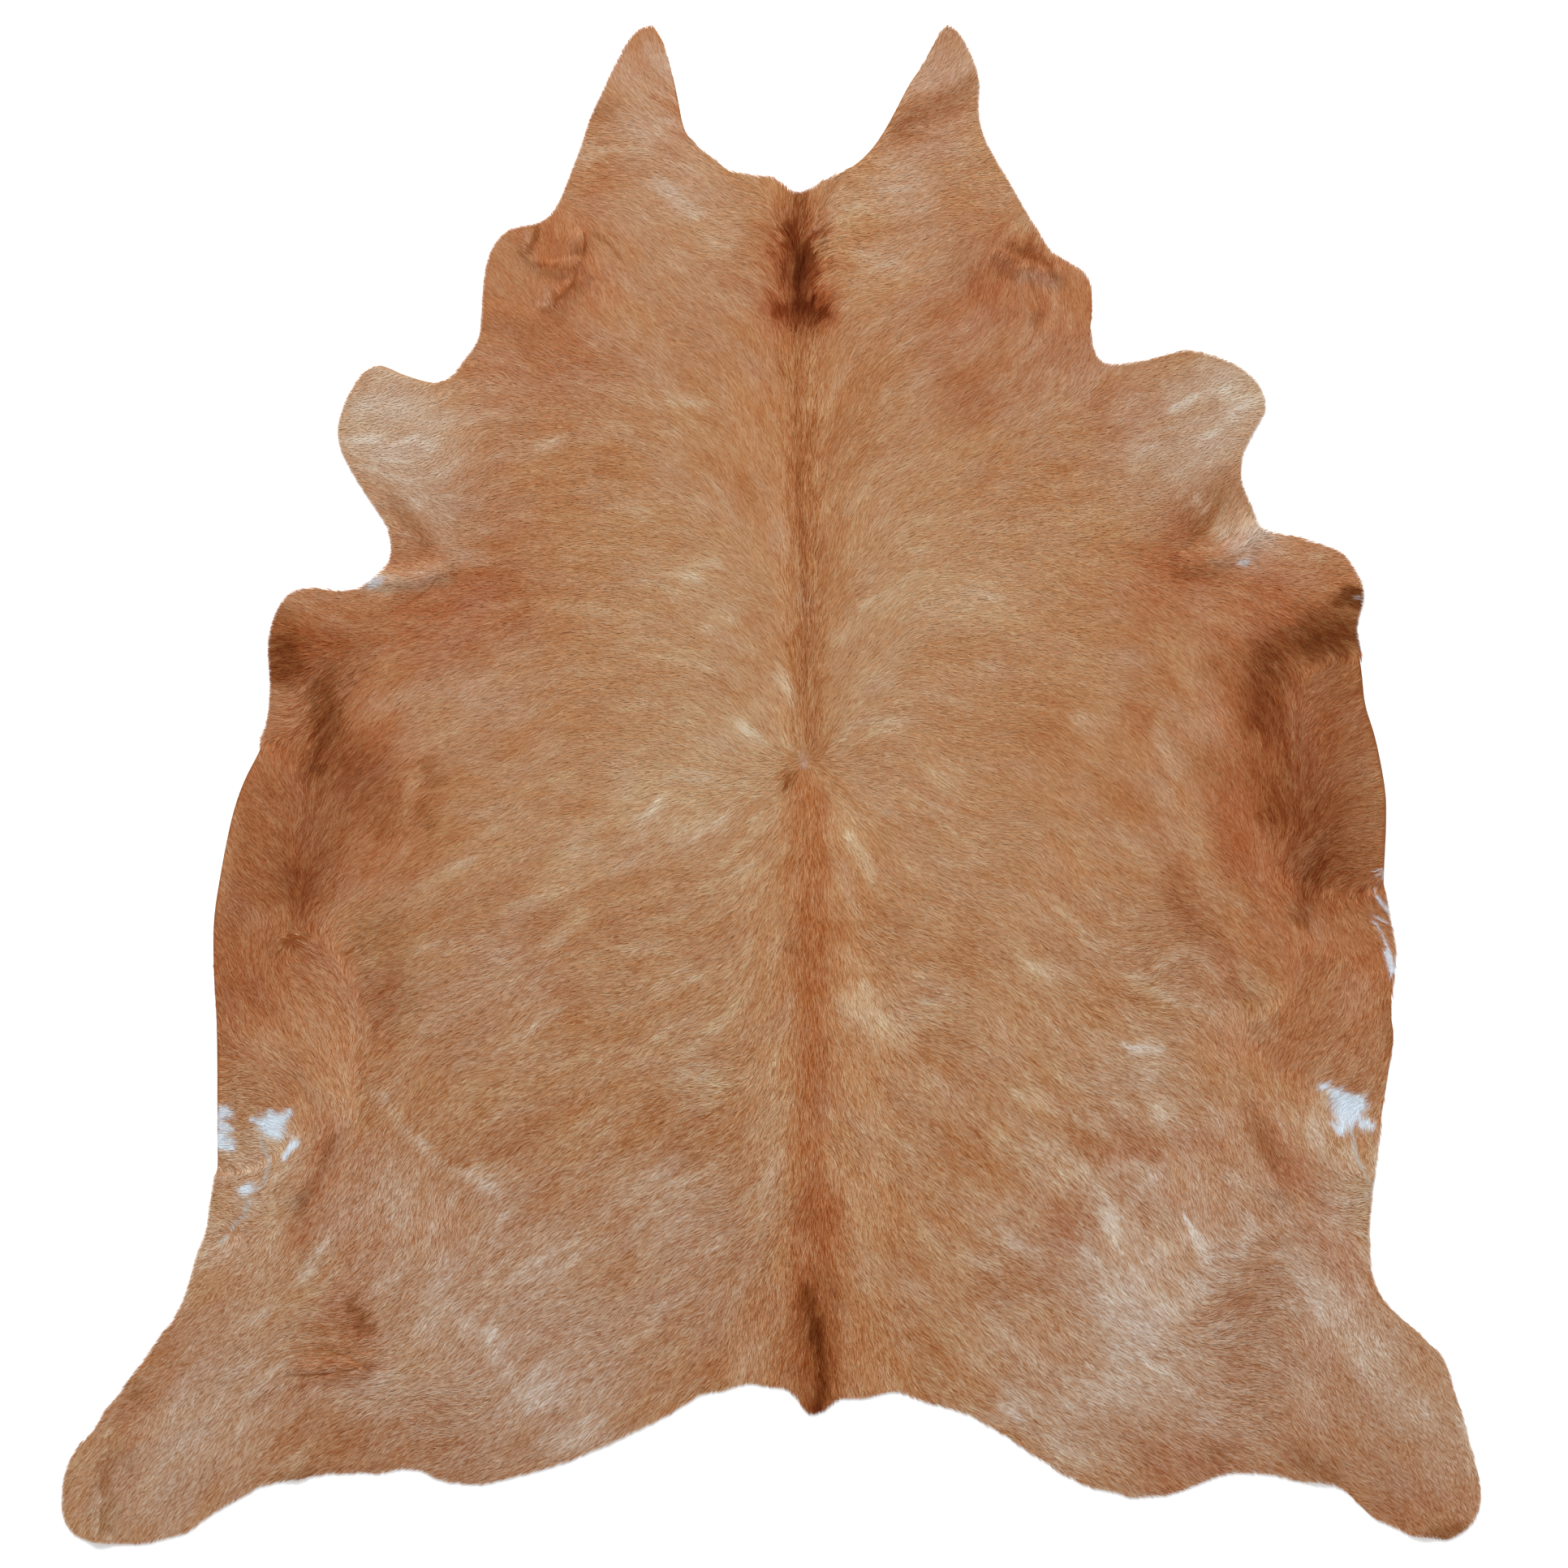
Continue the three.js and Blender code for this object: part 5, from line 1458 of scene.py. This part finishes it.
def give_coat_values(mesh, places, repeat=1):
    """Stores the marks and the tone read at the places, each repeated for so many vertices."""
    kinds = (*COLOURS, "cream", "pale", "brown", "short", "long", "slit")
    values = MAP.read(np.dstack([MARK_MAPS[kind] for kind in kinds]), places)
    read = {kind: values[:, k] for k, kind in enumerate(kinds)}
    read["cool"] = 1 - (1 - read["cool"]) * (1 - PALE_COOL * read["pale"])
    cool_streaks = COOL_SPREAD * STREAKS.read(COOL_STREAKS, places)
    read["cool"] = np.clip(read["cool"] + COOL_BASE + cool_streaks, 0, 1)
    # Slits add painted shade to the dark marks.
    read["dark"] = read["dark"] + SLIT_SHADE * read["slit"]
    wisps, fine, uneven = MAP.read(np.dstack([WISPS, FINE_TONE, UNEVEN]), places).T
    stain_and_shade = np.clip(1 - uneven, *STAIN_BOUNDS)
    read["dark"] = read["dark"] * stain_and_shade
    read["rust"] = read["rust"] * (RUST_EVEN + (1 - RUST_EVEN) * stain_and_shade)
    hind = hindward(places)
    broad = STREAKS.read(BROAD_TONE, places)
    tone = (fine + broad * (1 + HIND_STREAKS * hind)) * (1 - SHORT_CALM * read["short"])
    light = CREAM_LIGHT * read["cream"] + PALE_LIGHT * read["pale"]
    light = light * (LIGHT_EVEN + LIGHT_WISPS * wisps)
    tone = tone + light - BROWN_DARK * read["brown"] + TONE_BASE
    for kind in COLOURS:
        give_values(mesh, kind, np.repeat(read[kind], repeat))
    give_values(mesh, "tone", np.repeat(tone, repeat))
    return read


def new_mesh(name, vertices, faces, sides):
    """A mesh of equal-sided faces from whole arrays."""
    mesh = bpy.data.meshes.new(name)
    mesh.vertices.add(len(vertices))
    mesh.vertices.foreach_set("co", np.asarray(vertices, np.float32).ravel())
    mesh.loops.add(faces.size)
    mesh.loops.foreach_set("vertex_index", faces.astype(np.int32).ravel())
    mesh.polygons.add(len(faces))
    mesh.polygons.foreach_set("loop_start", np.arange(0, faces.size, sides, dtype=np.int32))
    mesh.update(calc_edges=True)
    mesh.shade_smooth()
    return mesh


def give_map(mesh, name, corners):
    """A UV map from one place for each face corner."""
    layer = mesh.uv_layers.new(name=name)
    layer.uv.foreach_set("vector", np.asarray(corners, np.float32).ravel())


def new_piece(name, mesh):
    piece = bpy.data.objects.new(name, mesh)
    bpy.context.scene.collection.objects.link(piece)
    return piece


def top_height(places):
    """Height of the leather's hair side: underside, skin, and the creases pressed into it."""
    lift = MAP.read(LIFT, places)
    crease = MAP.read(CREASE, places)
    return lift + np.maximum(SKIN - crease, THINNEST * SKIN)


def leather_sheet():
    """The leather as a closed sheet. An even grid covers the hide; its points outside the rim
    are moved onto the rim, then the hair side, the flesh side below it and the cut edge
    between them are quads of that grid."""
    plan = Plan(SKIN_CELL, 3 * SKIN_CELL)
    places = plan.places()
    depth, nearest = distance_inside(places, RIM_STARTS, RIM_ENDS)
    within = depth > SKIN_SETBACK + SNAP_SHARE * SKIN_CELL
    inward = (places - nearest) * np.sign(depth)[..., None]
    inward = inward / np.maximum(np.hypot(inward[..., 0], inward[..., 1]), 1e-9)[..., None]
    places = np.where(within[..., None], places, nearest + inward * SKIN_SETBACK)
    cell = within[:-1, :-1] | within[:-1, 1:] | within[1:, :-1] | within[1:, 1:]
    number = np.arange(plan.rows * plan.columns).reshape(plan.rows, plan.columns)
    quads = np.stack([number[:-1, :-1], number[:-1, 1:], number[1:, 1:], number[1:, :-1]], axis=-1)
    quads = quads[cell]
    used, index = np.unique(quads, return_inverse=True)
    quads = index.reshape(-1, 4)
    places = places.reshape(-1, 2)[used]
    top = top_height(places)
    under = MAP.read(LIFT, places)
    vertices = np.concatenate([np.column_stack([places, top]), np.column_stack([places, under])])
    count = len(used)
    sides = np.concatenate([quads[:, [k, (k + 1) % 4]] for k in range(4)])
    forward = sides[:, 0] * count + sides[:, 1]
    backward = sides[:, 1] * count + sides[:, 0]
    rim = sides[~np.isin(forward, backward)]
    wall = np.column_stack([rim[:, 0] + count, rim[:, 1] + count, rim[:, 1], rim[:, 0]])
    faces = np.concatenate([quads, quads[:, ::-1] + count, wall])
    mesh = new_mesh("hide_leather", vertices, faces, 4)
    flesh = np.ones(len(faces), np.int32)
    flesh[:len(quads)] = 0
    mesh.materials.append(undercoat_finish())
    mesh.materials.append(suede_finish())
    mesh.polygons.foreach_set("material_index", flesh)
    give_coat_values(mesh, np.concatenate([places, places]))
    give_map(mesh, "OFBake", leather_layout(vertices[faces.ravel(), :2], np.repeat(flesh, 4)))
    return new_piece("hide_leather", mesh)


def leather_layout(corners, flesh):
    """Where the leather's faces lie on its bake map: hair side on the left half, flesh side
    and edge on the right, each the plan view drawn to fit."""
    span = np.array([cad_high.x - cad_low.x, cad_high.y - cad_low.y])
    unit = (corners - (cad_low.x, cad_low.y)) / span
    unit = unit * (0.5 - MAP_MARGIN, 1 - 2 * MAP_MARGIN)
    return unit + np.column_stack([MAP_MARGIN / 2 + 0.5 * flesh, np.full(len(flesh), MAP_MARGIN)])


def strand_roots(seed):
    """Roots of the strands: a grid in staggered rows, each point moved at random by up to half
    the spacing, kept where it is inside the rim."""
    random = np.random.default_rng(seed)
    x = np.arange(cad_low.x, cad_high.x, STRAND_SPACING)
    y = np.arange(cad_low.y, cad_high.y, STRAND_SPACING)
    grid = np.stack(np.meshgrid(x, y), axis=-1)
    grid[1::2, :, 0] += STRAND_SPACING / 2
    roots = grid.reshape(-1, 2) + random.uniform(-0.5, 0.5, (grid.size // 2, 2)) * STRAND_SPACING
    return roots[RIM_MAP.read(RIM_DEPTH, roots) > COAT_SETBACK]


def share_to_slit(roots, tips):
    """How much of each strand lies before the first slit that it meets: the hair stops there."""
    share = np.ones(len(roots))
    for step in np.linspace(1, 0.1, 10):
        met = MAP.read(MARK_MAPS["slit"], roots + (tips - roots) * step) > SLIT_EDGE
        share[met] = step
    return share


def strand_shapes(roots, random):
    """Corners of each strand: root, waist and tip. The strand leaves its root along the hair's
    heading there and bends to the heading at its middle. Its waist stands out to one side or
    the other, and it climbs from the skin to its tip."""
    count = len(roots)
    short = MAP.read(MARK_MAPS["short"], roots)
    long = MAP.read(MARK_MAPS["long"], roots)
    length = STRAND_LENGTH * (1 - SHORT_LOSS * short) * (1 + LONG_GAIN * long)
    length = length * random.uniform(*SIZE_SPREAD, count)
    swing = np.radians(random.normal(0, SWING, count))
    first = turned(lie_at(roots), swing)
    middle = roots + first * (length / 2)[:, None]
    second = turned(lie_at(middle), swing + np.radians(random.normal(0, BEND, count)))
    tip = middle + second * (length / 2)[:, None]
    allowed = OVERHANG * random.uniform(*OVERHANG_SPREAD, count)
    beyond = np.maximum(-RIM_MAP.read(RIM_DEPTH, tip) - allowed, 0)
    keep = np.clip(1 - beyond / length, LEAST_KEPT, 1)
    keep = np.minimum(keep, share_to_slit(roots, tip))[:, None]
    middle = roots + (middle - roots) * keep
    tip = middle + (tip - middle) * keep
    side = random.choice([-1.0, 1.0], count)
    width = STRAND_WIDTH * random.uniform(*SIZE_SPREAD, count)
    width = width * (CUT_WIDTH + (1 - CUT_WIDTH) * keep[:, 0]) * side
    right = np.stack([first[:, 1] + second[:, 1], -first[:, 0] - second[:, 0]], axis=1)
    right = right / np.hypot(right[:, 0], right[:, 1])[:, None]
    waist = roots * WAIST[0] + middle * WAIST[1] + tip * WAIST[2] + right * width[:, None]
    share = np.clip(keep[:, 0], LEAST_RISE, 1)
    rise = random.uniform(*TIP_RISE, count) * share
    waist_rise = (rise + ROOT_DEPTH) * WAIST_RISE - ROOT_DEPTH - random.normal(0, STRAND_TILT, count)
    heights = [
        top_height(roots) - ROOT_DEPTH,
        top_height(waist) + waist_rise,
        top_height(tip) + rise,
    ]
    corners = np.stack([roots, waist, tip], axis=1)
    return np.concatenate([corners, np.stack(heights, axis=1)[..., None]], axis=2), side > 0


def turned(headings, angle):
    """Headings turned by an angle each."""
    c, s = np.cos(angle), np.sin(angle)
    x, y = headings[:, 0], headings[:, 1]
    return np.stack([x * c - y * s, x * s + y * c], axis=1)


# How much neighbouring strands differ in tone, and what the rump and each kind of hair adds to
# it or takes from it. Long hair adds less over the rump, by the share LONG_LESS_HIND.
CONTRAST = 0.88
HIND_CONTRAST = 0.6
LONG_CONTRAST = 0.8
LONG_LESS_HIND = 0.5
SHORT_EVENNESS = 0.2
DARK_CONTRAST = 0.7
RUST_CONTRAST = 0.2


def coat_piece(name, roots, seed, material):
    """One part of the coat: its strands joined in one mesh, one triangle for each strand. The
    corners are taken round so that every strand faces up."""
    random = np.random.default_rng(seed)
    shapes, rightward = strand_shapes(roots, random)
    count = len(roots)
    share = random.uniform(*SEEN_AT, count)[:, None]
    seen = shapes[:, 0, :2] * (1 - share) + shapes[:, 2, :2] * share
    start = np.arange(count)[:, None] * 3
    faces = start + np.where(rightward[:, None], [0, 1, 2], [0, 2, 1])
    mesh = new_mesh(name, shapes.reshape(-1, 3), faces, 3)
    mesh.materials.append(material)
    marks = give_coat_values(mesh, seen, 3)
    hind = hindward(roots)
    long_contrast = LONG_CONTRAST * marks["long"] * (1 - LONG_LESS_HIND * hind)
    contrast = CONTRAST + HIND_CONTRAST * hind + long_contrast - SHORT_EVENNESS * marks["short"]
    contrast = contrast + DARK_CONTRAST * marks["dark"] + RUST_CONTRAST * marks["rust"]
    give_values(mesh, "strand", np.repeat(0.5 + random.uniform(-0.5, 0.5, count) * contrast, 3))
    spread = np.array([[0.5, 0], [1, 0.45], [0.5, 1]])
    give_map(mesh, "Strand", spread[faces - start])
    low = shapes[..., :2].min(axis=(0, 1))
    span = shapes[..., :2].max(axis=(0, 1)) - low
    unit = (shapes.reshape(-1, 3)[faces.ravel(), :2] - low) / span
    give_map(mesh, "OFBake", unit * (1 - 2 * MAP_MARGIN) + MAP_MARGIN)
    return new_piece(name, mesh)


def coat():
    """The coat in four parts with as many strands in each: left and right, fore and hind."""
    roots = strand_roots(ROOT_SEED)
    right = roots[:, 0] > np.median(roots[:, 0])
    parts = {}
    for side, across in (("left", ~right), ("right", right)):
        fore = roots[:, 1] > np.median(roots[across, 1])
        parts[f"coat_{side}_fore"] = roots[across & fore]
        parts[f"coat_{side}_hind"] = roots[across & ~fore]
    material = hair_finish()
    return [coat_piece(name, part, STRAND_SEED + k, material)
            for k, (name, part) in enumerate(parts.items())]


def dress():
    """The leather sheet and the coat on it, in place of the CAD solid."""
    leather = leather_sheet()
    coats = coat()
    for piece in (leather, *coats):
        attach(piece, "root")
        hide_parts("hide")


def floor():
    """A wide pale floor just under the rug."""
    reach = 60.0
    gap = 0.0003
    corners = np.array([[-reach, -reach], [reach, -reach], [reach, reach], [-reach, reach]])
    vertices = np.column_stack([corners, np.full(4, -gap)])
    mesh = new_mesh("floor", vertices, np.array([[0, 1, 2, 3]]), 4)
    finish = Finish("pale_floor")
    mesh.materials.append(finish.shade(paint(247, 247, 247), roughness=0.9, gloss=0.1))
    piece = new_piece("floor", mesh)


def area_light(name, place, size, power):
    """A soft square light that faces the origin."""
    light = bpy.data.lights.new(name, "AREA")
    light.size = size
    light.energy = power
    lamp = bpy.data.objects.new(name, light)
    lamp.location = place
    toward = np.negative(place)
    flat = math.hypot(toward[0], toward[1])
    lamp.rotation_euler = (math.atan2(flat, -toward[2]), 0, math.atan2(-toward[0], toward[1]))
    bpy.context.scene.collection.objects.link(lamp)


def studio():
    """Even pale surroundings with a broad soft light from the neck side."""
    surroundings = 0.62
    world = bpy.data.worlds.new("studio")
    world.use_nodes = True
    background = world.node_tree.nodes["Background"]
    background.inputs["Color"].default_value = (1.0, 1.0, 1.0, 1.0)
    background.inputs["Strength"].default_value = surroundings
    bpy.context.scene.world = world
    area_light("neck_side_light", (-0.8, 5.2, 5.0), size=2.4, power=560)
    area_light("tail_side_light", (1.5, -5.0, 6.0), size=4.0, power=120)
    bpy.context.scene.view_settings.view_transform = "Standard"


def camera():
    """Straight above the rug with a long lens: the frame is a square of FRAME_STEPS."""
    height = 8.0
    sensor = 36.0
    frame_side = FRAME_STEPS * STEP
    coat_top = 0.005
    lens = bpy.data.cameras.new("overhead")
    lens.sensor_width = sensor
    lens.lens = sensor * (height - coat_top) / frame_side
    lens.clip_end = 200.0
    view = bpy.data.objects.new("overhead", lens)
    x, y = at((FRAME_STEPS / 2, FRAME_STEPS / 2))
    view.location = (x, y, height)
    bpy.context.scene.collection.objects.link(view)
    bpy.context.scene.camera = view


camera()
studio()
floor()
dress()
